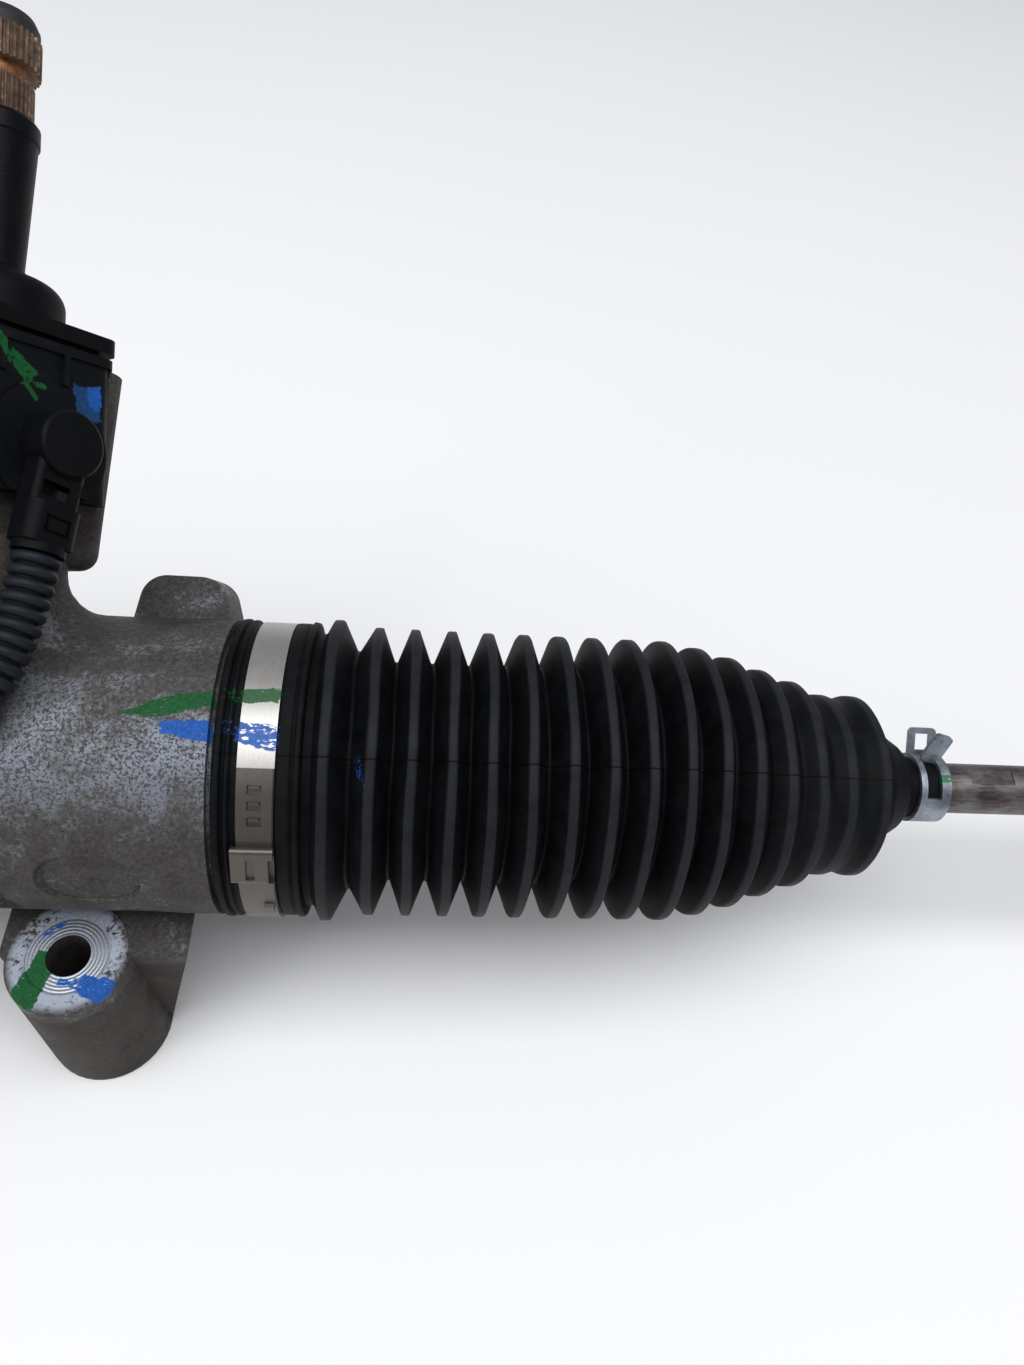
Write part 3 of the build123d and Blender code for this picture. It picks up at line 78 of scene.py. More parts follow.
# The level of the feet's faces, which way the sensor's face looks, and the groove that the mould leaves along
# the bellows, with a thin line of painted shade beside it
FOOT_TOP = 51.8 * MM
SENSOR_TURN = math.radians(-37)
MOULD_GROOVE = math.radians(118)
MOULD_SHADE = math.radians(118.3)


# Meshes

def new_object(name, data, body):
    """An object in the scene, which rides on a body where one is named."""
    thing = bpy.data.objects.new(name, data)
    bpy.context.scene.collection.objects.link(thing)
    if body:
        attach(thing, body)
    return thing


def sheet_faces(rows, columns, close_rows, close_columns):
    """Quads between neighbouring points of a grid, numbered row by row."""
    across = np.arange(columns if close_columns else columns - 1)
    down = np.arange(rows if close_rows else rows - 1)
    i, j = np.meshgrid(down, across, indexing="ij")
    i2, j2 = (i + 1) % rows, (j + 1) % columns
    quads = np.stack([i * columns + j, i * columns + j2, i2 * columns + j2, i2 * columns + j], -1)
    return quads.reshape(-1, 4)


def surface(name, points, finish, body, close_rows=False, close_columns=True, flip=False,
            capped=False, attribute=None):
    """A mesh of a (rows, columns, 3) grid of points. Each row is a ring, and the ends may be capped."""
    rows, columns = points.shape[:2]
    quads = sheet_faces(rows, columns, close_rows, close_columns)
    if flip:
        quads = quads[:, ::-1]
    faces = quads.tolist()
    if capped:
        first, last = list(range(columns)), list(range((rows - 1) * columns, rows * columns))
        faces += [first, last[::-1]] if flip else [first[::-1], last]
    mesh = bpy.data.meshes.new(name)
    mesh.from_pydata(points.reshape(-1, 3).tolist(), [], faces)
    mesh.polygons.foreach_set("use_smooth", np.ones(len(faces), bool))
    for key, values in (attribute or {}).items():
        layer = mesh.attributes.new(key, "FLOAT", "POINT")
        layer.data.foreach_set("value", np.asarray(values, np.float32).ravel())
    mesh.materials.append(material(finish))
    mesh.update()
    thing = new_object(name, mesh, body)
    return thing


def full_turn(count):
    """Even angles of one full turn, without its end."""
    return np.linspace(0, 2 * math.pi, count, endpoint=False)


def round_rack(x, radius, turn):
    """Points about the rack's axis: turn 0 points to the rear and a quarter turn points up."""
    return np.stack([x + 0 * radius, RACK_Y + radius * np.cos(turn), RACK_Z + radius * np.sin(turn)], -1)


def smooth_profile(corners, step, softness):
    """Points along a polyline at even steps, with its corners rounded by a moving average."""
    corners = np.asarray(corners, float)
    length = np.concatenate([[0], np.cumsum(np.hypot(*np.diff(corners, axis=0).T))])
    along = np.linspace(0, length[-1], max(2, int(length[-1] / step)))
    line = np.stack([np.interp(along, length, corners[:, i]) for i in (0, 1)], -1)
    window = max(1, int(softness / step)) | 1
    padded = np.pad(line, ((window // 2, window // 2), (0, 0)), "edge")
    kernel = np.hanning(window + 2)[1:-1]
    kernel /= kernel.sum()
    soft = np.stack([np.convolve(padded[:, i], kernel, "valid") for i in (0, 1)], -1)
    soft[0], soft[-1] = line[0], line[-1]
    return soft


# Shader maths

class Value:
    """A number or vector that varies over a surface. Arithmetic on it adds Math nodes."""

    def __init__(self, look, socket):
        self.look = look
        self.socket = socket

    def maths(self, operation, *others):
        return self.look.node("ShaderNodeMath", {"operation": operation}, dict(enumerate((self, *others))))

    def __add__(self, other):
        return self.maths("ADD", other)

    def __sub__(self, other):
        return self.maths("SUBTRACT", other)

    def __mul__(self, other):
        return self.maths("MULTIPLY", other)

    def __pow__(self, other):
        return self.maths("POWER", other)

    def __rsub__(self, other):
        return self.maths("MULTIPLY", -1.0).maths("ADD", other)

    __radd__ = __add__
    __rmul__ = __mul__

    def __abs__(self):
        return self.maths("ABSOLUTE")

    def sin(self):
        return self.maths("SINE")

    def most(self, other):
        return self.maths("MAXIMUM", other)

    def between(self, low, high):
        """0 below low, 1 above high, or the other way round when low is the larger."""
        return self.look.node("ShaderNodeMapRange", {"interpolation_type": "SMOOTHSTEP"},
                              {0: self, 1: low, 2: high, 3: 0.0, 4: 1.0})


class Look:
    """One material: its nodes, and the coordinates that its patterns follow."""

    def __init__(self, name):
        self.material = bpy.data.materials.new("finish_" + name)
        self.material.use_nodes = True
        self.tree = self.material.node_tree
        self.tree.nodes.clear()
        self.place = self.node("ShaderNodeTexCoord", out="Object")
        self.x, self.y, self.z = self.split(self.place)

    def node(self, kind, settings=None, inputs=None, out=0):
        """Adds a node: first its settings, then the values or links of its sockets."""
        node = self.tree.nodes.new(kind)
        for key, value in (settings or {}).items():
            if key == "stops":
                self.set_stops(node.color_ramp, value)
            else:
                setattr(node, key, value)
        for key, value in (inputs or {}).items():
            if isinstance(value, Value):
                self.tree.links.new(value.socket, node.inputs[key])
            else:
                node.inputs[key].default_value = value
        return Value(self, node.outputs[out])

    @staticmethod
    def set_stops(ramp, stops):
        while len(ramp.elements) < len(stops):
            ramp.elements.new(0.5)
        for element, (position, colour) in zip(ramp.elements, stops):
            element.position = position
            element.color = (*colour, 1.0)

    def split(self, vector):
        node = self.node("ShaderNodeSeparateXYZ", inputs={0: vector}).socket.node
        return [Value(self, output) for output in node.outputs]

    def stretched(self, x, y, z):
        return self.node("ShaderNodeVectorMath", {"operation": "MULTIPLY"}, {0: self.place, 1: (x, y, z)})

    def noise(self, scale, detail=3.0, rough=0.55, warp=0.0, vector=None):
        inputs = {"Vector": vector or self.place, "Scale": scale, "Detail": detail, "Roughness": rough,
                  "Distortion": warp}
        return self.node("ShaderNodeTexNoise", inputs=inputs)

    def cells(self, scale):
        return self.node("ShaderNodeTexVoronoi", inputs={"Vector": self.place, "Scale": scale})

    def attribute(self, name):
        return self.node("ShaderNodeAttribute", {"attribute_name": name}, out="Fac")

    def mix(self, low, high, share):
        low, high = [c if isinstance(c, Value) else (*c, 1.0) for c in (low, high)]
        return self.node("ShaderNodeMix", {"data_type": "RGBA"}, {0: share, 6: low, 7: high}, out=2)

    def ramp(self, value, *stops):
        return self.node("ShaderNodeValToRGB", {"stops": stops}, {0: value})

    def turn_round_rack(self):
        """Angle about the rack's axis: 0 to the rear, a quarter turn up, and a jump at the bottom."""
        return (RACK_Y - self.y).maths("ARCTAN2", self.z - RACK_Z) + math.pi / 2

    def along_shaft(self):
        """Height along the pinion's axis above the rack's level."""
        start = float(PINION @ SHAFT)
        return self.x * SHAFT[0] + self.y * SHAFT[1] + self.z * SHAFT[2] - start

    def bump(self, height, distance):
        return self.node("ShaderNodeBump", inputs={"Height": height, "Distance": distance, "Strength": 1.0})

    def finish(self, colour, rough, metal=0.0, bump=None, coat=0.0, specular=0.5, coat_rough=0.2):
        """Ends the material with its shader."""
        inputs = {"Base Color": colour, "Roughness": rough, "Metallic": metal, "Coat Weight": coat,
                  "Coat Roughness": coat_rough, "Specular IOR Level": specular}
        if bump is not None:
            inputs["Normal"] = bump
        shader = self.node("ShaderNodeBsdfPrincipled", inputs=inputs)
        output = self.tree.nodes.new("ShaderNodeOutputMaterial")
        self.tree.links.new(shader.socket, output.inputs["Surface"])
        return self.material


# Paint marks, brushed on by hand after inspection

GREEN = (0.010, 0.095, 0.026)
BLUE = (0.016, 0.105, 0.420)

# The radius at which strokes round the tube, the cuff and the band are measured
MARK_RADIUS = 37 * MM

# Strokes on the tube, cuff and band: colour, X and turn at both ends in mm and degrees, half width at
# both ends in mm, and how dry the brush was
TUBE_STROKES = (
    (GREEN, (248.6, 105.0), (258.0, 102.2), 0.5, 2.3, 0.1),
    (GREEN, (256.5, 102.6), (269.4, 97.9), 2.3, 1.9, 0.15),
    (GREEN, (270.9, 97.3), (275.0, 96.9), 1.8, 1.8, 0.9),
    (GREEN, (274.6, 96.9), (284.4, 96.0), 1.8, 1.9, 0.12),
    (BLUE, (257.6, 109.6), (269.4, 110.5), 1.5, 2.5, 0.1),
    (BLUE, (270.9, 108.4), (275.0, 108.8), 1.7, 1.7, 0.95),
    (BLUE, (274.6, 110.2), (284.4, 112.2), 2.4, 2.9, 0.45),
    (BLUE, (301.6, 116.0), (303.4, 127.5), 0.9, 0.7, 0.85),
)


def stroke_mask(look, u, v, start, end, halves, dryness):
    """1 inside a brushed stroke from start to end, with ragged ends and dry bristle streaks."""
    du, dv = end[0] - start[0], end[1] - start[1]
    length = math.hypot(du, dv)
    du, dv = du / length, dv / length
    along = (u - start[0]) * du + (v - start[1]) * dv
    across = (v - start[1]) * du - (u - start[0]) * dv
    half = halves[0] + along.between(0, length) * (halves[1] - halves[0])
    ragged = look.noise(420, 4, 0.65) - 0.5
    inside = (half - abs(across + ragged * (0.9 * max(halves)))).between(-0.0001, 0.0002)
    ends = (along + ragged * 0.004).between(0, 0.0006)
    ends = ends * (length - along + ragged * 0.005).between(0, 0.0006)
    dry = look.noise(1300, 3, 0.6, vector=look.stretched(0.35, 1, 1))
    return inside * ends * dry.between(0.26 + 0.28 * dryness, 0.34 + 0.28 * dryness)


def in_metres(at):
    """A stroke's end on a flat face in metres."""
    return at[0] * MM, at[1] * MM


def round_tube(at):
    """A stroke's end on the tube in metres, along it and round it."""
    return at[0] * MM, math.radians(at[1]) * MARK_RADIUS


def painted(look, colour, strokes, u, v, place, strength=1.0):
    """Brushes strokes over a colour, and says where paint lies."""
    covered = None
    for paint, start, end, first, last, dryness in strokes:
        mask = stroke_mask(look, u, v, place(start), place(end), (first * MM, last * MM), dryness) * strength
        thin = look.noise(900, 2).between(0.42, 0.62) * 0.35
        colour = look.mix(colour, look.mix(paint, tuple(c * 0.45 for c in paint), thin), mask)
        covered = mask if covered is None else covered.most(mask)
    return colour, covered


def tube_marks(look, colour, strength=1.0):
    """The strokes that run from the tube over the cuff and its band."""
    turn = look.turn_round_rack() * MARK_RADIUS
    return painted(look, colour, TUBE_STROKES, look.x, turn, round_tube, strength)


# Finishes

def cast_aluminium(name, marked=False):
    """As-cast metal: bluish-white patches, fine dark specks, and brown painted shade on the tube's flanks, under
    the feet's faces and on the tower.
    """
    look = Look(name)
    cloud = look.noise(60, 4, 0.6, 0.5)
    grain = look.noise(900, 4, 0.7, 0.3)
    specks = look.noise(1500, 3, 0.65, 0.2)
    turn = look.turn_round_rack()
    # Painted shade: the tower, the walls under the feet's faces and the tube's front and rear flanks get a dark
    # brown tone, fewer bright patches and specks, and less metal
    tower = look.z.between(110 * MM, 124 * MM)
    below_face = look.z.between(FOOT_TOP - 1 * MM, FOOT_TOP - 7 * MM)
    front, rear = turn.between(2.25, 2.65), turn.between(1.66, 1.50)
    painted_shade = tower.most(below_face).most(front * 0.7).most(rear * 0.6)
    bright = (cloud * 0.9 + grain * 0.55 - painted_shade * 0.22).between(0.62, 0.84)
    clean = look.ramp(cloud * 0.5 + grain * 0.5, (0.34, (0.060, 0.056, 0.053)), (0.50, (0.128, 0.126, 0.127)),
                      (0.66, (0.200, 0.205, 0.218)))
    shade_colour = look.ramp(cloud * 0.6 + grain * 0.4, (0.36, (0.013, 0.0095, 0.0070)),
                     (0.64, (0.054, 0.044, 0.0345)))
    colour = look.mix(clean, shade_colour, painted_shade * 0.9)
    colour = look.mix(colour, (0.215, 0.235, 0.275), bright * 0.9)
    dots = specks.between(0.50, 0.60) * (0.9 - bright * 0.15) * (1 - painted_shade * 0.6)
    colour = look.mix(colour, (0.030, 0.024, 0.020), dots * cloud.between(0.25, 0.60))
    rough = 0.60 - bright * 0.14 + dots * 0.1
    metal = (0.38 + bright * 0.20 - dots * 0.3) * (1 - painted_shade * 0.95)
    height = grain * 0.6 + specks * 0.3 - dots * 0.3
    if marked:
        rings, seat, face = foot_seat(look)
        chalk = face * (cloud * 0.6 + grain * 0.6).between(0.50, 0.62)
        colour = look.mix(colour, (0.38, 0.42, 0.50), chalk)
        colour = look.mix(colour, look.mix((0.36, 0.39, 0.46), (0.52, 0.55, 0.62), rings), seat)
        metal = metal.most(seat)
        rough = rough * (1 - seat) + seat * 0.34
        height = height * (1 - seat) + rings * seat * 0.22
        colour, covered = tube_marks(look, colour)
        colour, dabbed = foot_marks(look, colour)
        paint = covered.most(dabbed)
        metal = metal * (1 - paint)
        rough = rough * (1 - paint) + paint * 0.5
    return look.finish(colour, rough, metal, look.bump(height, 0.00030), specular=0.16)


def at_foot_face(look, low, high):
    """1 at the level of the feet's faces: low and high say in millimetres where it fades in below them."""
    above = look.z.between(FOOT_TOP + 0.5 * MM, FOOT_TOP + 0.3 * MM)
    return look.z.between(FOOT_TOP - low * MM, FOOT_TOP - high * MM) * above


def foot_seat(look):
    """The turned seat round the bolt hole: its rings, where it is, and the cast face round it."""
    x, y = abs(look.x) - FOOT_X, look.y
    radius = (x * x + y * y) ** 0.5
    level = at_foot_face(look, 0.9, 0.2)
    seat = level * radius.between(10.4 * MM, 10.1 * MM)
    face = level * radius.between(10.0 * MM, 10.6 * MM) * radius.between(15.4 * MM, 12.5 * MM)
    ring_pitch = 0.9 * MM
    rings = (radius * (2 * math.pi / ring_pitch)).sin() * 0.5 + 0.5
    return rings, seat, face


# Strokes on the right-hand foot's face: colour, X and Y at both ends, half widths and dryness
FOOT_STROKES = (
    (GREEN, (225.4, 1.0), (221.2, -13.2), 2.9, 3.6, 0.05),
    (BLUE, (229.0, -6.6), (234.4, -7.4), 0.9, 1.4, 0.6),
    (BLUE, (233.8, -7.0), (242.8, -9.8), 2.6, 3.1, 0.15),
    (BLUE, (222.2, 5.0), (228.0, 9.2), 0.8, 0.8, 0.55),
)


def foot_marks(look, colour):
    """Dabs of green and blue on the face of the right-hand foot."""
    return painted(look, colour, FOOT_STROKES, look.x, look.y, in_metres, at_foot_face(look, 2.0, 1.0))


def bellows_rubber(name):
    """Moulded rubber: near black, with a painted highlight on the crests, a parting line with painted shade beside
    it, and a dusty bloom.
    """
    look = Look(name)
    crest = look.attribute("crest")
    dust = look.noise(160, 5, 0.65)
    fine = look.noise(2400, 2, 0.6)
    # Painted shade: a thin near-black line beside the mould's groove, standing in for the groove's shade
    parting = (look.turn_round_rack() + look.noise(300, 2) * 0.012 - MOULD_SHADE) * MARK_RADIUS
    line = abs(parting).between(0.22 * MM, 0.10 * MM)
    colour = look.mix((0.0024, 0.0028, 0.0034), (0.0066, 0.0072, 0.0084), dust.between(0.35, 0.75))
    # Painted highlight: the flat band on each crest is made greyer than the same rubber in the valleys, more so
    # where dust lies
    colour = look.mix(colour, (0.0175, 0.0190, 0.0225), crest * (dust.between(0.2, 0.7) * 0.5 + 0.45))
    colour = look.mix(colour, (0.06, 0.06, 0.07), look.cells(700).between(0.09, 0.04) * 0.14)
    colour = look.mix(colour, (0.0012, 0.0012, 0.0014), line)
    colour, _ = tube_marks(look, colour, 0.55)
    rough = 0.54 + dust * 0.16 - crest * 0.08
    height = fine * 0.5 + dust * 0.5 - line * 1.2
    return look.finish(colour, rough, 0.0, look.bump(height, 0.00012), specular=0.10)


def moulded_plastic(name, colour, scuffed=0.3, rough=0.42, specular=0.10):
    """Glass-filled plastic: fine sparkle and pale dusty patches."""
    look = Look(name)
    dust = look.noise(130, 5, 0.6)
    fine = look.noise(2200, 2, 0.5)
    pale = tuple(c * 2.2 + 0.006 for c in colour)
    tone = look.mix(colour, pale, dust.between(0.45, 0.8) * scuffed)
    height = fine * 0.6 + look.noise(420, 2) * 0.4
    return look.finish(tone, rough + dust * 0.16, 0.0, look.bump(height, 0.00010), specular=specular)


# Strokes on the sensor's face: colour, side and height at both ends, half widths and dryness
SENSOR_STROKES = (
    (GREEN, (-10.5, 98.0), (-7.6, 93.0), 0.9, 1.1, 0.3),
    (GREEN, (-7.4, 94.2), (-1.2, 89.6), 1.6, 1.9, 0.3),
    (GREEN, (-4.2, 88.6), (-1.2, 85.4), 0.7, 0.6, 0.4),
    (GREEN, (-1.8, 88.6), (1.8, 88.2), 0.7, 0.5, 0.5),
    ((0.014, 0.060, 0.170), (12.0, 91.6), (12.4, 83.0), 3.6, 3.4, 0.05),
    (BLUE, (13.8, 92.2), (14.2, 86.6), 2.0, 1.7, 0.15),
)


def sensor_plastic(name):
    """The sensor's black plastic, with a green squiggle and a blue patch on its face."""
    look = Look(name)
    dust = look.noise(150, 5, 0.6)
    fine = look.noise(2000, 2, 0.5)
    colour = look.mix((0.0034, 0.0042, 0.0056), (0.0120, 0.0138, 0.0175), dust.between(0.45, 0.85) * 0.6)
    cosine, sine = math.cos(SENSOR_TURN), math.sin(SENSOR_TURN)
    across = np.cross(SHAFT, (1.0, 0.0, 0.0))
    x = look.x - PINION[0]
    away = look.y * across[1] + look.z * across[2] - float(PINION @ across)
    out = x * cosine + away * sine
    side = away * cosine - x * sine
    on_face = out.between(17.0 * MM, 17.5 * MM)
    colour, covered = painted(look, colour, SENSOR_STROKES, side, look.along_shaft(), in_metres, on_face)
    bump = look.bump(fine * 0.6 + dust * 0.4, 0.00012)
    return look.finish(colour, 0.42 + dust * 0.18 + covered * 0.1, 0.0, bump, specular=0.10)


def rusty_shaft(name):
    """The input shaft: bronze-brown splines, an orange groove and a black end."""
    look = Look(name)
    height_mm = look.along_shaft() * (1 / MM)
    rust = look.noise(420, 5, 0.7)
    patch = look.noise(150, 3, 0.6)
    spline = look.ramp(rust, (0.30, (0.020, 0.012, 0.008)), (0.52, (0.115, 0.062, 0.034)),
                       (0.72, (0.270, 0.185, 0.125)))
    groove = look.ramp(rust * 0.6 + patch * 0.4, (0.35, (0.060, 0.022, 0.008)), (0.55, (0.300, 0.125, 0.035)),
                       (0.70, (0.330, 0.300, 0.270)))
    in_groove = height_mm.between(160.4, 160.9) * height_mm.between(163.9, 163.4)
    end = height_mm.between(171.0, 171.6)
    colour = look.mix(spline, groove, in_groove)
    colour = look.mix(colour, (0.010, 0.010, 0.011), end)
    shine = rust.between(0.45, 0.7) * (1 - end)
    return look.finish(colour, 0.62 - shine * 0.2, shine * 0.6, look.bump(rust, 0.00020))


# How a steel's streaks are stretched: along the rack, or not at all
DRAWN = (0.2, 1, 1)
EVEN = (1, 1, 1)


def worn_steel(name, dark, light, scale, rough=0.38, metal=0.9, along=DRAWN, stain=None, bumps=0.00006):
    """Drawn or machined steel with lengthwise streaks, tarnish and an optional stain."""
    look = Look(name)
    streak = look.noise(scale * 5, 3, 0.6, vector=look.stretched(*along))
    cloud = look.noise(scale * 0.5, 4, 0.6)
    colour = look.mix(dark, light, (streak * 0.5 + cloud * 0.6).between(0.35, 0.75))
    if stain:
        colour = look.mix(colour, stain, look.noise(scale * 0.35, 4, 0.65).between(0.50, 0.66) * 0.7)
    return look.finish(colour, rough + cloud * 0.2, metal, look.bump(streak, bumps))


def between_degrees(turn, low, high):
    """As Value.between, for a turn whose limits are in degrees."""
    return turn.between(math.radians(low), math.radians(high))


def band_steel(name):
    """Stainless strip, brushed along its length, with painted shade over the tongue and the band's lower side, and
    the paint strokes running over it.
    """
    look = Look(name)
    turn = look.turn_round_rack()
    lengthwise = look.node("ShaderNodeCombineXYZ", inputs={0: look.x * 2600.0, 1: turn * 3.0, 2: 0.0})
    brushed = look.noise(1.0, 3, 0.6, vector=lengthwise)
    cloud = look.noise(110, 4, 0.6)
    strip = look.mix((0.38, 0.360, 0.335), (0.60, 0.590, 0.570), brushed * 0.5 + cloud * 0.5)
    # Painted shade: from 122 degrees round the rack down past the tongue and the ear, the strip gets a much darker
    # copy of its own steel
    shaded_tongue = look.mix((0.085, 0.076, 0.068), (0.165, 0.152, 0.138), brushed * 0.5 + cloud * 0.5)
    lower_side_shade = between_degrees(turn, 122.2, 122.6) * between_degrees(turn, 235, 190)
    colour = look.mix(strip, shaded_tongue, lower_side_shade)
    colour = look.mix(colour, (0.16, 0.140, 0.120), look.noise(1400, 3, 0.6).between(0.62, 0.72) * 0.5)
    colour, covered = tube_marks(look, colour, 0.97)
    rough = 0.38 + cloud * 0.14 + covered * 0.2
    return look.finish(colour, rough, 0.95 - covered * 0.95, look.bump(brushed, 0.00003))


def clamp_steel(name):
    """Blue-zinc spring steel with a green stripe on the right-hand clamp."""
    look = Look(name)
    cloud = look.noise(200, 4, 0.6)
    colour = look.mix((0.16, 0.185, 0.220), (0.34, 0.370, 0.420), cloud.between(0.3, 0.7))
    colour = look.mix(colour, (0.06, 0.06, 0.065), look.noise(700, 3, 0.6).between(0.58, 0.70) * 0.6)
    turn = look.turn_round_rack()
    stripe = (look.x - 459.2 * MM).between(0, 0.2 * MM) * between_degrees(turn, 99, 101)
    stripe = stripe * between_degrees(turn, 114, 112) * look.noise(900).between(0.30, 0.42)
    colour = look.mix(colour, (0.012, 0.135, 0.055), stripe)
    return look.finish(colour, 0.38 + cloud * 0.12, 0.85 - stripe * 0.8, look.bump(cloud, 0.00004))


def corrugated_plastic(name):
    """The conduit's plastic, with painted shade between its rings and a painted highlight on their tops."""
    look = Look(name)
    dust = look.noise(220, 4, 0.6)
    # Painted shade and highlight: the ring tops are made lighter and the grooves between them darker, mixed with
    # dust
    share = look.attribute("ridge") * 0.7 + dust.between(0.4, 0.8) * 0.3
    colour = look.mix((0.0030, 0.0034, 0.0044), (0.0150, 0.0180, 0.0250), share)
    return look.finish(colour, 0.44 + dust * 0.12, 0.0, look.bump(dust, 0.00006), specular=0.16)


def plain_rubber(name):
    """Dusty black rubber."""
    look = Look(name)
    dust = look.noise(240, 4, 0.6)
    colour = look.mix((0.005, 0.005, 0.006), (0.016, 0.0165, 0.018), dust.between(0.4, 0.8))
    return look.finish(colour, 0.58 + dust * 0.15, 0.0, look.bump(dust, 0.00010), specular=0.2)


def enamelled(name, colour):
    """Satin black enamel with orange-peel and dust."""
    look = Look(name)
    peel = look.noise(900, 2, 0.5)
    dust = look.noise(60, 5, 0.6)
    tone = look.mix(colour, tuple(c + 0.03 for c in colour), dust.between(0.4, 0.8) * 0.7)
    return look.finish(tone, 0.34 + dust * 0.2, 0.0, look.bump(peel, 0.00006), coat=0.25, coat_rough=0.3)


def floor_finish(name):
    """Pale matt paper."""
    look = Look(name)
    cloud = look.noise(3, 3, 0.5)
    colour = look.mix((0.90, 0.90, 0.90), (0.93, 0.93, 0.93), cloud)
    return look.finish(colour, 0.8, 0.0, specular=0.2)


# The function that makes each finish, and what it takes after the name
FINISHES = {
    "cast_marked": (cast_aluminium, True),
    "cast_plain": (cast_aluminium,),
    "bellows_rubber": (bellows_rubber,),
    "sensor_plastic": (sensor_plastic,),
    "black_plastic": (moulded_plastic, (0.0022, 0.0026, 0.0036), 0.25, 0.46),
    "sleeve_plastic": (moulded_plastic, (0.0028, 0.0032, 0.0042), 0.2, 0.36),
    "lock_plastic": (moulded_plastic, (0.0100, 0.0110, 0.0140)),
    "bush_plastic": (moulded_plastic, (0.55, 0.53, 0.46), 0.1, 0.42, 0.5),
    "cover_plastic": (moulded_plastic, (0.012, 0.0125, 0.014), 0.3, 0.42, 0.3),
    "rusty_shaft": (rusty_shaft,),
    "band_steel": (band_steel,),
    "clamp_steel": (clamp_steel,),
    "corrugated_plastic": (corrugated_plastic,),
    "seal_rubber": (plain_rubber,),
    "boot_rubber": (plain_rubber,),
    "motor_enamel": (enamelled, (0.014, 0.014, 0.015)),
    "tie_rod_steel": (worn_steel, (0.060, 0.052, 0.049), (0.205, 0.188, 0.184), 240, 0.38, 0.9, DRAWN,
                      (0.085, 0.060, 0.050)),
    "forged_steel": (worn_steel, (0.05, 0.05, 0.05), (0.16, 0.155, 0.15), 300, 0.5, 0.6, EVEN, None, 0.00016),
    "ground_steel": (worn_steel, (0.42, 0.42, 0.43), (0.66, 0.66, 0.68), 200, 0.22),
    "zinc_plate": (worn_steel, (0.38, 0.36, 0.31), (0.66, 0.65, 0.60), 260, 0.32, 0.9, EVEN),
    "machined_alloy": (worn_steel, (0.45, 0.45, 0.46), (0.68, 0.68, 0.70), 200, 0.3, 0.9, EVEN),
    "laminated_iron": (worn_steel, (0.10, 0.10, 0.11), (0.22, 0.22, 0.24), 200, 0.45),
    "stage_floor": (floor_finish,),
}

# The frame's pieces that wear each finish
NODE_FINISHES = {
    "cast_marked": ("pinion_housing",),
    "cast_plain": ("drive_housing", "control_unit"),
    "sensor_plastic": ("sensor_body",),
    "black_plastic": ("sensor_cover", "connector_plug", "lead_plug", "sensor_rotor"),
    "sleeve_plastic": ("shaft_sleeve",),
    "lock_plastic": ("connector_lock",),
    "bush_plastic": ("rack_bush", "joint_seat_right", "joint_seat_left", "yoke_liner"),
    "cover_plastic": ("control_unit_cover",),
    "rusty_shaft": ("input_shaft",),
    "band_steel": ("band_clamp_right", "band_clamp_left"),
    "clamp_steel": ("spring_clamp_right", "spring_clamp_left"),
    "seal_rubber": ("shaft_seal", "drive_belt"),
    "motor_enamel": ("motor_case",),
    "tie_rod_steel": ("tie_rod_right", "tie_rod_left"),
    "forged_steel": ("end_stop_right", "end_stop_left", "inner_joint_right", "inner_joint_left",
                     "outer_joint_right", "outer_joint_left", "yoke_springs"),
    "ground_steel": ("rack_bar", "pinion_gear", "torsion_bar", "ball_nut", "nut_bearing",
                     "pinion_top_bearing", "pinion_tip_bearing", "nut_pulley", "motor_pulley",
                     "ball_stud_right", "ball_stud_left"),
    "zinc_plate": ("housing_bolts", "motor_bolts", "sensor_screws", "lock_nut_right", "lock_nut_left",
                   "stud_nut_right", "stud_nut_left"),
    "machined_alloy": ("yoke", "yoke_plug", "pinion_end_cap"),
    "laminated_iron": ("motor_stator", "motor_rotor"),
}


def material(name):
    """The finish of that name, made the first time that it is asked for."""
    maker, *values = FINISHES[name]
    return bpy.data.materials.get("finish_" + name) or maker(name, *values)


# Settings

class BellowsSettings(bpy.types.PropertyGroup):
    first_crest: FloatProperty(name="First crest", description="X of the fold next to the cuff",
                               default=294.5 * MM, unit="LENGTH")
    first_pitch: FloatProperty(name="First pitch", description="From the first fold to the second",
                               default=10.6 * MM, unit="LENGTH")
    pitch: FloatProperty(name="Pitch", description="From fold to fold", default=9.55 * MM, unit="LENGTH")
    taper_pitch: FloatProperty(name="Taper pitch", description="Pitch of the shrinking folds",
                               default=9.2 * MM, unit="LENGTH")
    full_folds: IntProperty(name="Full folds", description="Folds of full size", default=10, min=2)
    crest_radius: FloatProperty(name="Crest radius", description="Radius over the folds",
                                default=38.0 * MM, unit="LENGTH")
    valley_radius: FloatProperty(name="Valley radius", description="Radius between the folds",
                                 default=29.0 * MM, unit="LENGTH")
    land: FloatProperty(name="Crest band", description="Width of the flat band on each fold",
                        default=2.1 * MM, unit="LENGTH")
    wall: FloatProperty(name="Wall", description="Thickness of the rubber", default=1.5 * MM, unit="LENGTH")
    columns: IntProperty(name="Columns", description="Points round each fold", default=144, min=24)


class LeadSettings(bpy.types.PropertyGroup):
    diameter: FloatProperty(name="Diameter", description="Over the conduit's rings",
                            default=10.6 * MM, unit="LENGTH")
    ring_pitch: FloatProperty(name="Ring pitch", description="From ring to ring",
                              default=3.1 * MM, unit="LENGTH")
    ring_depth: FloatProperty(name="Ring depth", description="From crest to root",
                              default=1.3 * MM, unit="LENGTH")


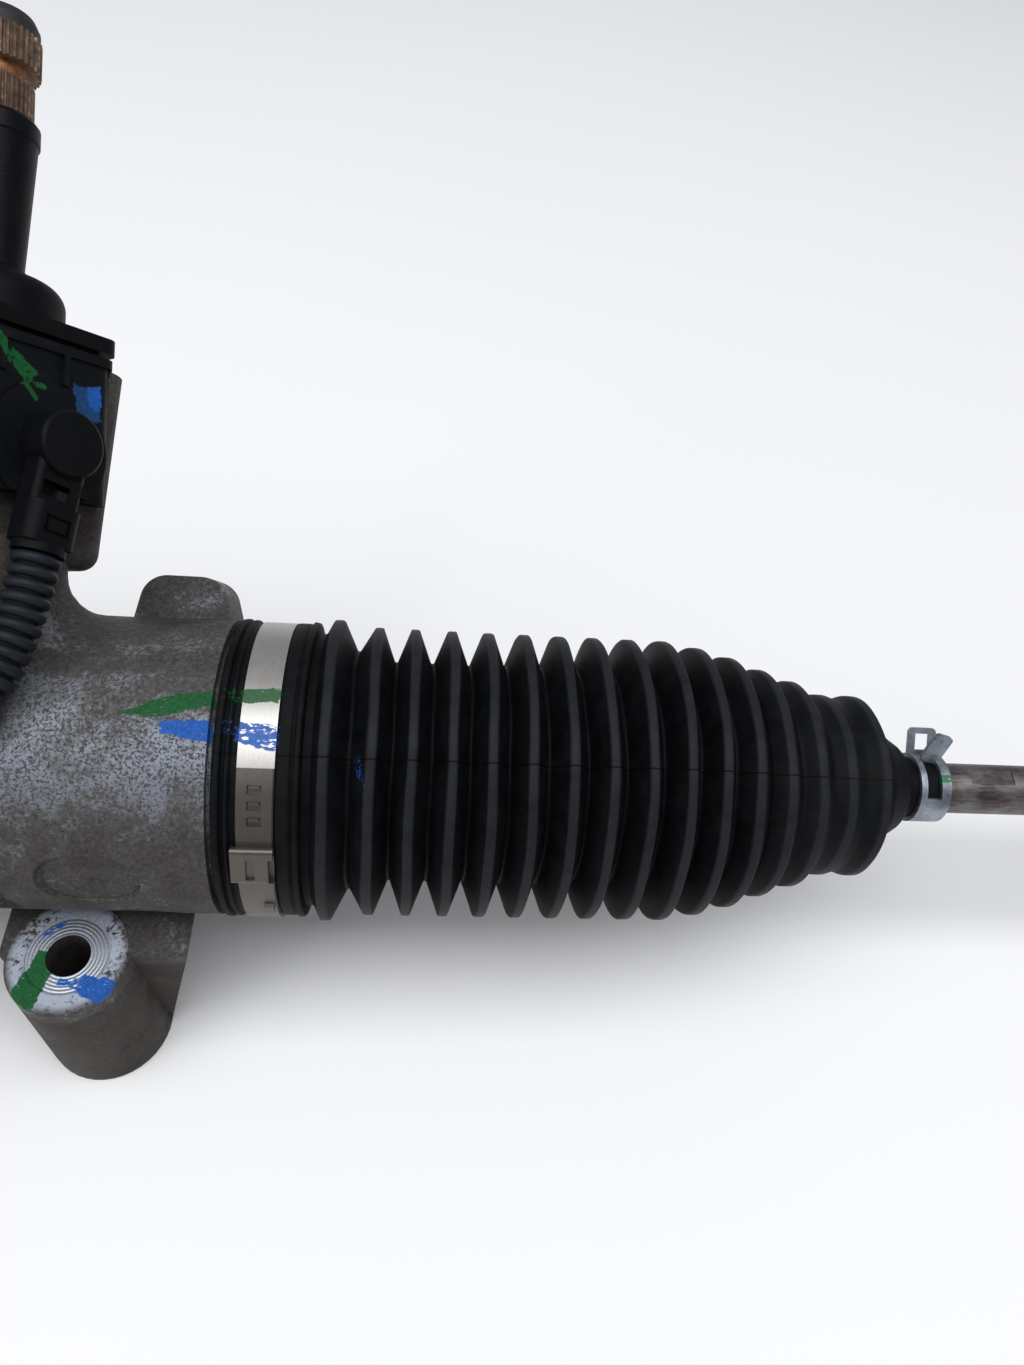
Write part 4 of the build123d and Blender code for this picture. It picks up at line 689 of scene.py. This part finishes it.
class StageSettings(bpy.types.PropertyGroup):
    lens: FloatProperty(name="Lens", description="Focal length in millimetres", default=24.98)
    key_power: FloatProperty(name="Key light", description="Power of the overhead light", default=44.0)
    fill_power: FloatProperty(name="Fill light", description="Power of the side light", default=2.6)
    sky_strength: FloatProperty(name="Sky strength", description="Strength of the room's light", default=0.34)
    backdrop_strength: FloatProperty(name="Backdrop", description="Brightness behind the floor's edge",
                                     default=0.85)
    sky: FloatVectorProperty(name="Sky", description="Colour of the room's light", subtype="COLOR",
                             default=(0.93, 0.95, 1.0), min=0.0, max=1.0)


class SteeringRackSettings(bpy.types.PropertyGroup):
    bellows: PointerProperty(type=BellowsSettings)
    lead: PointerProperty(type=LeadSettings)
    stage: PointerProperty(type=StageSettings)


# Bellows

# Radii of the shrinking folds and of the valleys before them, in millimetres
TAPER_CRESTS = (36.6, 34.4, 31.4, 28.6, 25.2, 25.2)
TAPER_VALLEYS = (29.0, 28.8, 28.3, 26.4, 24.9, 24.1)

# The valley where the two pieces of a bellows meet, and where its last fold ends
SPLIT_VALLEY = 12
FOLDS_END = 455 * MM

# The outline in millimetres, X and radius: the cuff's lip from its edge, the seat from the band's edge and
# the bead from its own middle, then the neck from the last fold and its mouth from the bellows' end
CUFF_LIP = ((0, 35.7), (0, 38.1), (0.5, 38.7), (1.7, 38.7), (2.1, 37.2), (2.6, 37.2), (3.0, 38.5))
BAND_SEAT = ((-0.9, 38.5), (-0.5, 37.35), (9.4, 37.35), (9.8, 38.2))
CUFF_BEAD = ((-1.4, 38.2), (-1.2, 37.6), (-0.7, 37.6), (-0.5, 38.7), (0.8, 38.5), (1.2, 35.0), (2.4, 34.6))
BEAD_FROM_BAND = 14.1 * MM
CUFF_BORE = 35.7 * MM
NECK_OUTSIDE = (
    (4.4, 18.4), (5.2, 17.0), (6.9, 16.6), (9.8, 14.4), (12.9, 12.4), (13.8, 11.5), (14.3, 9.2), (15.3, 8.4),
)
NECK_INSIDE = ((4.0, 15.6), (12.4, 10.0), (14.0, 7.2))
NECK_MOUTH = ((-0.9, 8.4), (-0.5, 8.8), (0, 8.8), (0, 7.2))


def fold_stations(size):
    """X and radius of each crest, and of the valley before it."""
    steps = [size.first_pitch] + [size.pitch] * (size.full_folds - 2)
    steps += [size.taper_pitch] * len(TAPER_CRESTS)
    x = size.first_crest + np.concatenate([[0], np.cumsum(steps)])
    crests = [size.crest_radius + 1.5 * MM] + [size.crest_radius] * (size.full_folds - 1)
    crests += [radius * MM for radius in TAPER_CRESTS]
    valleys = [0, size.valley_radius + 2.4 * MM] + [size.valley_radius] * (size.full_folds - 2)
    valleys += [radius * MM for radius in TAPER_VALLEYS]
    valley_x = np.concatenate([[0], (x[1:] + x[:-1]) / 2])
    return x, np.array(crests), valley_x, np.array(valleys)


def fold_corners(size, first, last):
    """Corners of the folds' outline from crest first to crest last, valleys between them."""
    x, crests, valley_x, valleys = fold_stations(size)
    crest_half, valley_half = size.land / 2, 0.35 * MM
    corners = []
    for i in range(first, last + 1):
        if i > first:
            corners += [(valley_x[i] - valley_half, valleys[i]), (valley_x[i] + valley_half, valleys[i])]
        corners += [(x[i] - crest_half, crests[i]), (x[i] + crest_half, crests[i])]
    return corners


def corners_from(start, offsets):
    """Corners of an outline that is given in millimetres from a place on the axis."""
    return [(start + x * MM, radius * MM) for x, radius in offsets]


def bellows_section(size, part):
    """The outline of one half of the bellows and the number of its outer points."""
    low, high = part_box("bellows_right")[0].x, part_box("bellows_right")[1].x
    x, crests, valley_x, valleys = fold_stations(size)
    last = len(x) - 1
    meeting = (valley_x[SPLIT_VALLEY], valleys[SPLIT_VALLEY])
    if part == "folds":
        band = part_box("band_clamp_right")[0].x
        outer = corners_from(low, CUFF_LIP) + corners_from(band, BAND_SEAT)
        outer += corners_from(band + BEAD_FROM_BAND, CUFF_BEAD)
        outer += fold_corners(size, 0, SPLIT_VALLEY - 1) + [meeting]
        inner = [(low, CUFF_BORE), (x[0] - 2.8 * MM, CUFF_BORE)]
        for i in range(SPLIT_VALLEY):
            inner += [(x[i], crests[i] - size.wall), (valley_x[i + 1], valleys[i + 1] - size.wall)]
    else:
        outer = [meeting] + fold_corners(size, SPLIT_VALLEY, last)
        outer += corners_from(x[last], NECK_OUTSIDE) + corners_from(high, NECK_MOUTH)
        inner = []
        for i in range(SPLIT_VALLEY, last + 1):
            inner += [(valley_x[i], valleys[i] - size.wall), (x[i], crests[i] - size.wall)]
        inner += corners_from(x[last], NECK_INSIDE) + corners_from(high, NECK_MOUTH[-1:])
    outer = smooth_profile(outer, 0.6 * MM, 1.1 * MM)
    inner = smooth_profile(inner, 1.4 * MM, 2.5 * MM)[::-1]
    return np.concatenate([outer, inner]), len(outer)


def bellows_half(name, size, part, side):
    """A closed wall of revolution: radius and X follow the outline, with a mould line and slight waves."""
    section, outer_count = bellows_section(size, part)
    turn = full_turn(size.columns)
    x, radius = section[:, :1], section[:, 1:]
    outside = (np.arange(len(section)) < outer_count)[:, None]
    after_cuff = np.clip((x - size.first_crest + 4 * MM) / (4 * MM), 0, 1)
    folds = after_cuff * np.clip((FOLDS_END - x) / (10 * MM), 0, 1)
    wave = 0.16 * MM * np.sin(3 * turn + x * 90) + 0.10 * MM * np.sin(7 * turn - x * 140)
    from_line_mm = np.mod(turn - MOULD_GROOVE, math.pi) * 37
    groove = np.exp(-(from_line_mm / 0.28) ** 2)
    crest = crest_share(size, x, radius) * outside
    radius = radius - 0.22 * MM * groove * crest + 0.05 * MM * np.sin(5 * turn + x * 60) * folds
    points = round_rack((x + wave * folds) * side, radius, turn)
    piece = surface(name, points, "bellows_rubber", None, close_rows=True, flip=side < 0,
                    attribute={"crest": np.repeat(crest, len(turn), 1)})
    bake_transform(piece)
    return piece


def crest_share(size, x, radius):
    """1 on the flat band of a fold, 0 elsewhere."""
    fold_x, crests, _, _ = fold_stations(size)
    nearest = np.abs(x - fold_x[None, :]).argmin(1)
    from_crest = np.abs(x[:, 0] - fold_x[nearest])
    below = crests[nearest] - radius[:, 0]
    on_band = np.clip((size.land / 2 + 0.35 * MM - from_crest) / (0.3 * MM), 0, 1)
    return (on_band * np.clip(1 - below / (1.0 * MM), 0, 1))[:, None]


class RACK_OT_bellows(bpy.types.Operator):
    """Make both rubber bellows, each in two pieces"""
    bl_idname = "steering_rack.bellows"
    bl_label = "Bellows"

    def execute(self, context):
        size = context.scene.steering_rack.bellows
        x, _, valley_x, _ = fold_stations(size)
        for side, end in ((1, "right"), (-1, "left")):
            folds = bellows_half(f"bellows_{end}_folds", size, "folds", side)
            neck = bellows_half(f"bellows_{end}_neck", size, "neck", side)
            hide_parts(f"bellows_{end}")
            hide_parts(f"bellows_{end}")
        return {"FINISHED"}


# Ball joint boots

# Half section of the boot in millimetres: radius from the stud's axis and height, outside then inside
BOOT_OUTSIDE = (
    (15.1, 67.0), (16.5, 67.0), (16.5, 65.6), (17.1, 65.3), (17.1, 64.3), (16.5, 63.9), (18.2, 61.9),
    (18.3, 60.3), (16.6, 58.0), (13.4, 56.6), (11.4, 56.2), (10.9, 55.7), (10.9, 55.0), (8.9, 55.0),
)
BOOT_INSIDE = (
    (8.9, 56.9), (11.6, 58.1), (15.0, 59.4), (16.4, 60.7), (16.3, 61.6), (15.1, 63.8), (15.1, 67.0),
)


class RACK_OT_boots(bpy.types.Operator):
    """Make the rubber boots under the outer ball joints"""
    bl_idname = "steering_rack.boots"
    bl_label = "Ball joint boots"

    def execute(self, context):
        outside = smooth_profile(BOOT_OUTSIDE, 0.25, 0.6)
        inside = smooth_profile((BOOT_OUTSIDE[-1], *BOOT_INSIDE), 0.4, 0.8)[1:-1]
        section = np.concatenate([outside, inside]) * MM
        turn = full_turn(96)
        radius, height = section[:, :1], section[:, 1:]
        for end in ("right", "left"):
            stud = JOINTS[f"ball_stud_{end}_tilt"]["pos_m"]
            points = boot_points(radius, height, turn, stud)
            boot = surface(f"ball_joint_boot_{end}", points, "boot_rubber", None, close_rows=True, flip=True)
            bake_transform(boot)
            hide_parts(f"dust_boot_{end}")
        return {"FINISHED"}


def boot_points(radius, height, turn, stud):
    """A section turned about the stud's axis: X and Y follow the cosine and sine of the turn."""
    return np.stack([stud[0] + radius * np.cos(turn), stud[1] + radius * np.sin(turn), height + 0 * turn], -1)


# Sensor lead

# The lead's route in millimetres, from the elbow on the sensor to the control unit
LEAD_ROUTE = (
    (229.739, 60.312, 134.708), (227.612, 45.613, 126.437), (221, 29, 119.5), (203, 12, 114), (173, -3, 116),
    (135, -20, 110), (97, -32.224, 101.586), (63, -32.224, 101.586),
)

# Points along each ring and round it, and half a ring's width as a share of the pitch
RING_STEPS = 14
RING_COLUMNS = 28
RING_HALF = 0.43


def route_curve(name, points):
    """A smooth curve with the route's points as its control points."""
    curve = bpy.data.curves.new(name, "CURVE")
    curve.dimensions = "3D"
    spline = curve.splines.new("NURBS")
    spline.points.add(len(points) - 1)
    for place, point in zip(spline.points, points):
        place.co = (*[c * MM for c in point], 1.0)
    spline.order_u = 3
    spline.use_endpoint_u = True
    spline.resolution_u = 24
    return curve


def curve_points(curve):
    """Points along a curve, as Blender evaluates it."""
    guide = bpy.data.objects.new("guide", curve)
    bpy.context.scene.collection.objects.link(guide)
    mesh = bpy.data.meshes.new_from_object(guide.evaluated_get(bpy.context.evaluated_depsgraph_get()))
    line = np.array([v.co for v in mesh.vertices])
    bpy.data.objects.remove(guide)
    bpy.data.meshes.remove(mesh)
    return line


def even_line(line, step):
    """The same line with points at even steps, and how far along each lies."""
    length = np.concatenate([[0], np.cumsum(np.linalg.norm(np.diff(line, axis=0), axis=1))])
    along = np.linspace(0, length[-1], int(length[-1] / step) + 1)
    return np.stack([np.interp(along, length, line[:, i]) for i in range(3)], -1), along


def carried_frames(line):
    """Two unit vectors square to the line at each point, carried along it with the least twist."""
    tangent = np.gradient(line, axis=0)
    tangent /= np.linalg.norm(tangent, axis=1)[:, None]
    side = np.zeros_like(line)
    side[0] = np.cross(tangent[0], (0.0, 0.0, 1.0))
    for i in range(1, len(line)):
        side[i] = side[i - 1] - tangent[i] * (side[i - 1] @ tangent[i])
    side[0] /= np.linalg.norm(side[0])
    side /= np.linalg.norm(side, axis=1)[:, None]
    return side, np.cross(tangent, side)


class RACK_OT_lead(bpy.types.Operator):
    """Make the corrugated conduit from the sensor to the control unit"""
    bl_idname = "steering_rack.lead"
    bl_label = "Sensor lead"

    def execute(self, context):
        size = context.scene.steering_rack.lead
        route = curve_points(route_curve("lead_route", LEAD_ROUTE))
        line, along = even_line(route, size.ring_pitch / RING_STEPS)
        side, up = carried_frames(line)
        from_ring = np.abs(np.mod(along / size.ring_pitch, 1) - 0.5)
        ridge = np.sqrt(np.clip(1 - (from_ring / RING_HALF) ** 2, 0, 1))
        radius = size.diameter / 2 - size.ring_depth * (1 - ridge)
        turn = full_turn(RING_COLUMNS)
        ring = np.cos(turn)[None, :, None] * side[:, None] + np.sin(turn)[None, :, None] * up[:, None]
        points = line[:, None] + radius[:, None, None] * ring
        lead = surface("sensor_conduit", points, "corrugated_plastic", "housing", capped=True,
                       attribute={"ridge": np.repeat(ridge[:, None], len(turn), 1)})
        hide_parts("sensor_lead")
        return {"FINISHED"}


# Threads

THREAD_START = 558.5 * MM
THREAD_RADIUS = 7.75 * MM
THREAD_PITCH = 1.5 * MM
THREAD_DEPTH = THREAD_PITCH * 0.58
THREAD_STEPS = 24

# One turn of the thread across its ridge: X as a share of the pitch, and height as a share of the depth
THREAD_PROFILE = np.array([(-0.5, 0), (-0.06, 1), (0.06, 1), (0.5, 0)])


def thread(name, end, body, side):
    """A screw thread on the tie rod from THREAD_START to end: a ridge on a helix that fades at both ends."""
    length = end - THREAD_START
    turns = length / THREAD_PITCH
    along = np.linspace(0, 1, int(turns * THREAD_STEPS) + 1)
    angle = along * turns * 2 * math.pi
    centre = THREAD_START + along * (length - THREAD_PITCH) + THREAD_PITCH / 2
    fade = np.clip(np.minimum(along, 1 - along) * turns / 0.8, 0, 1)
    x = centre[:, None] + THREAD_PROFILE[:, 0] * THREAD_PITCH
    root = THREAD_RADIUS - THREAD_DEPTH + 0.03 * MM
    radius = root + THREAD_PROFILE[:, 1] * THREAD_DEPTH * fade[:, None]
    surface(name, round_rack(x * side, radius, angle[:, None] * side), "tie_rod_steel", body,
            close_columns=False, flip=side < 0)


class RACK_OT_threads(bpy.types.Operator):
    """Make the threads on both tie rods"""
    bl_idname = "steering_rack.threads"
    bl_label = "Tie rod threads"

    def execute(self, context):
        into_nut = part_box("lock_nut_right")[0].x + 0.5 * MM
        for side, end in ((1, "right"), (-1, "left")):
            thread(f"tie_rod_thread_{end}", into_nut, f"tie_rod_{end}", side)
        return {"FINISHED"}


# Finishes on the frame's own pieces

class RACK_OT_finishes(bpy.types.Operator):
    """Give every piece of the frame its finish"""
    bl_idname = "steering_rack.finishes"
    bl_label = "Finishes"

    def execute(self, context):
        for finish, names in NODE_FINISHES.items():
            for name in names:
                mesh = NODES[name].data
                mesh.materials.clear()
                mesh.materials.append(material(finish))
        return {"FINISHED"}


# Stage

# The camera, seen from the frame's origin: its place in millimetres and its axes
CAMERA_PLACE = (313.4, -92.42, 296.68)
CAMERA_RIGHT = (0.993336, -0.030467, 0.111155)
CAMERA_UP = (-0.042502, 0.799633, 0.598996)
CAMERA_BACK = (-0.107132, -0.599728, 0.793010)

FLOOR_HALF = 6.0
FLOOR_LEVEL = -0.5 * MM


def area_light(name, place, target, size, power, colour):
    """A rectangular light that faces its target."""
    light = bpy.data.lights.new(name, "AREA")
    light.shape = "RECTANGLE"
    light.size, light.size_y = size
    light.energy = power
    light.color = colour
    thing = bpy.data.objects.new(name, light)
    bpy.context.scene.collection.objects.link(thing)
    thing.location = place
    thing.rotation_euler = (Vector(target) - Vector(place)).to_track_quat("-Z", "Y").to_euler()


def studio_light(tree, stage):
    """Even light from all round, with a paler backdrop behind the floor's edge."""
    light = tree.nodes["Background"]
    backdrop = tree.nodes.new("ShaderNodeBackground")
    for background, strength in ((light, stage.sky_strength), (backdrop, stage.backdrop_strength)):
        background.inputs["Color"].default_value = (*stage.sky, 1.0)
        background.inputs["Strength"].default_value = strength
    mix = tree.nodes.new("ShaderNodeMixShader")
    seen = tree.nodes.new("ShaderNodeLightPath")
    tree.links.new(seen.outputs["Is Camera Ray"], mix.inputs[0])
    tree.links.new(light.outputs[0], mix.inputs[1])
    tree.links.new(backdrop.outputs[0], mix.inputs[2])
    tree.links.new(mix.outputs[0], tree.nodes["World Output"].inputs["Surface"])


class RACK_OT_stage(bpy.types.Operator):
    """Make the floor, the lights and the camera"""
    bl_idname = "steering_rack.stage"
    bl_label = "Stage"

    def execute(self, context):
        stage = context.scene.steering_rack.stage
        edge = np.linspace(-FLOOR_HALF, FLOOR_HALF, 3)
        x, y = np.meshgrid(edge, edge, indexing="ij")
        floor = surface("stage_floor", np.stack([x, y, 0 * x + FLOOR_LEVEL], -1), "stage_floor", None,
                        close_columns=False, flip=True)
        world = bpy.data.worlds.new("studio")
        world.use_nodes = True
        studio_light(world.node_tree, stage)
        context.scene.world = world
        area_light("overhead", (0.36, -0.24, 2.2), (0.36, 0.04, 0.05), (2.8, 1.15), stage.key_power,
                   (0.97, 0.98, 1.0))
        area_light("side", (-0.6, -0.4, 0.8), (0.25, 0.04, 0.05), (0.7, 0.7), stage.fill_power,
                   (1.0, 0.97, 0.93))
        camera = bpy.data.cameras.new("camera")
        camera.lens = stage.lens
        camera.sensor_width = 36.0
        camera.clip_start = 0.01
        thing = bpy.data.objects.new("camera", camera)
        context.scene.collection.objects.link(thing)
        axes = Matrix((CAMERA_RIGHT, CAMERA_UP, CAMERA_BACK)).transposed().to_4x4()
        thing.matrix_world = Matrix.Translation(Vector(CAMERA_PLACE) * MM) @ axes
        context.scene.camera = thing
        context.scene.view_settings.view_transform = "Standard"
        return {"FINISHED"}


OPERATORS = (RACK_OT_stage, RACK_OT_lead, RACK_OT_bellows, RACK_OT_boots, RACK_OT_threads, RACK_OT_finishes)


class RACK_PT_panel(bpy.types.Panel):
    bl_label = "Steering Rack"
    bl_idname = "RACK_PT_panel"
    bl_space_type = "VIEW_3D"
    bl_region_type = "UI"
    bl_category = "Steering Rack"

    def draw(self, context):
        settings = context.scene.steering_rack
        for operator in OPERATORS:
            self.layout.operator(operator.bl_idname)
        for group in (settings.bellows, settings.lead, settings.stage):
            box = self.layout.box()
            for name in group.bl_rna.properties.keys():
                if name not in ("rna_type", "name"):
                    box.prop(group, name)


CLASSES = (BellowsSettings, LeadSettings, StageSettings, SteeringRackSettings, *OPERATORS, RACK_PT_panel)


def register():
    for cls in CLASSES:
        bpy.utils.register_class(cls)
    bpy.types.Scene.steering_rack = PointerProperty(type=SteeringRackSettings)


def unregister():
    del bpy.types.Scene.steering_rack
    for cls in reversed(CLASSES):
        bpy.utils.unregister_class(cls)


def main():
    register()
    bpy.ops.steering_rack.stage()
    bpy.ops.steering_rack.lead()
    bpy.ops.steering_rack.bellows()
    bpy.ops.steering_rack.boots()
    bpy.ops.steering_rack.threads()
    bpy.ops.steering_rack.finishes()


if __name__ == "__main__":
    main()
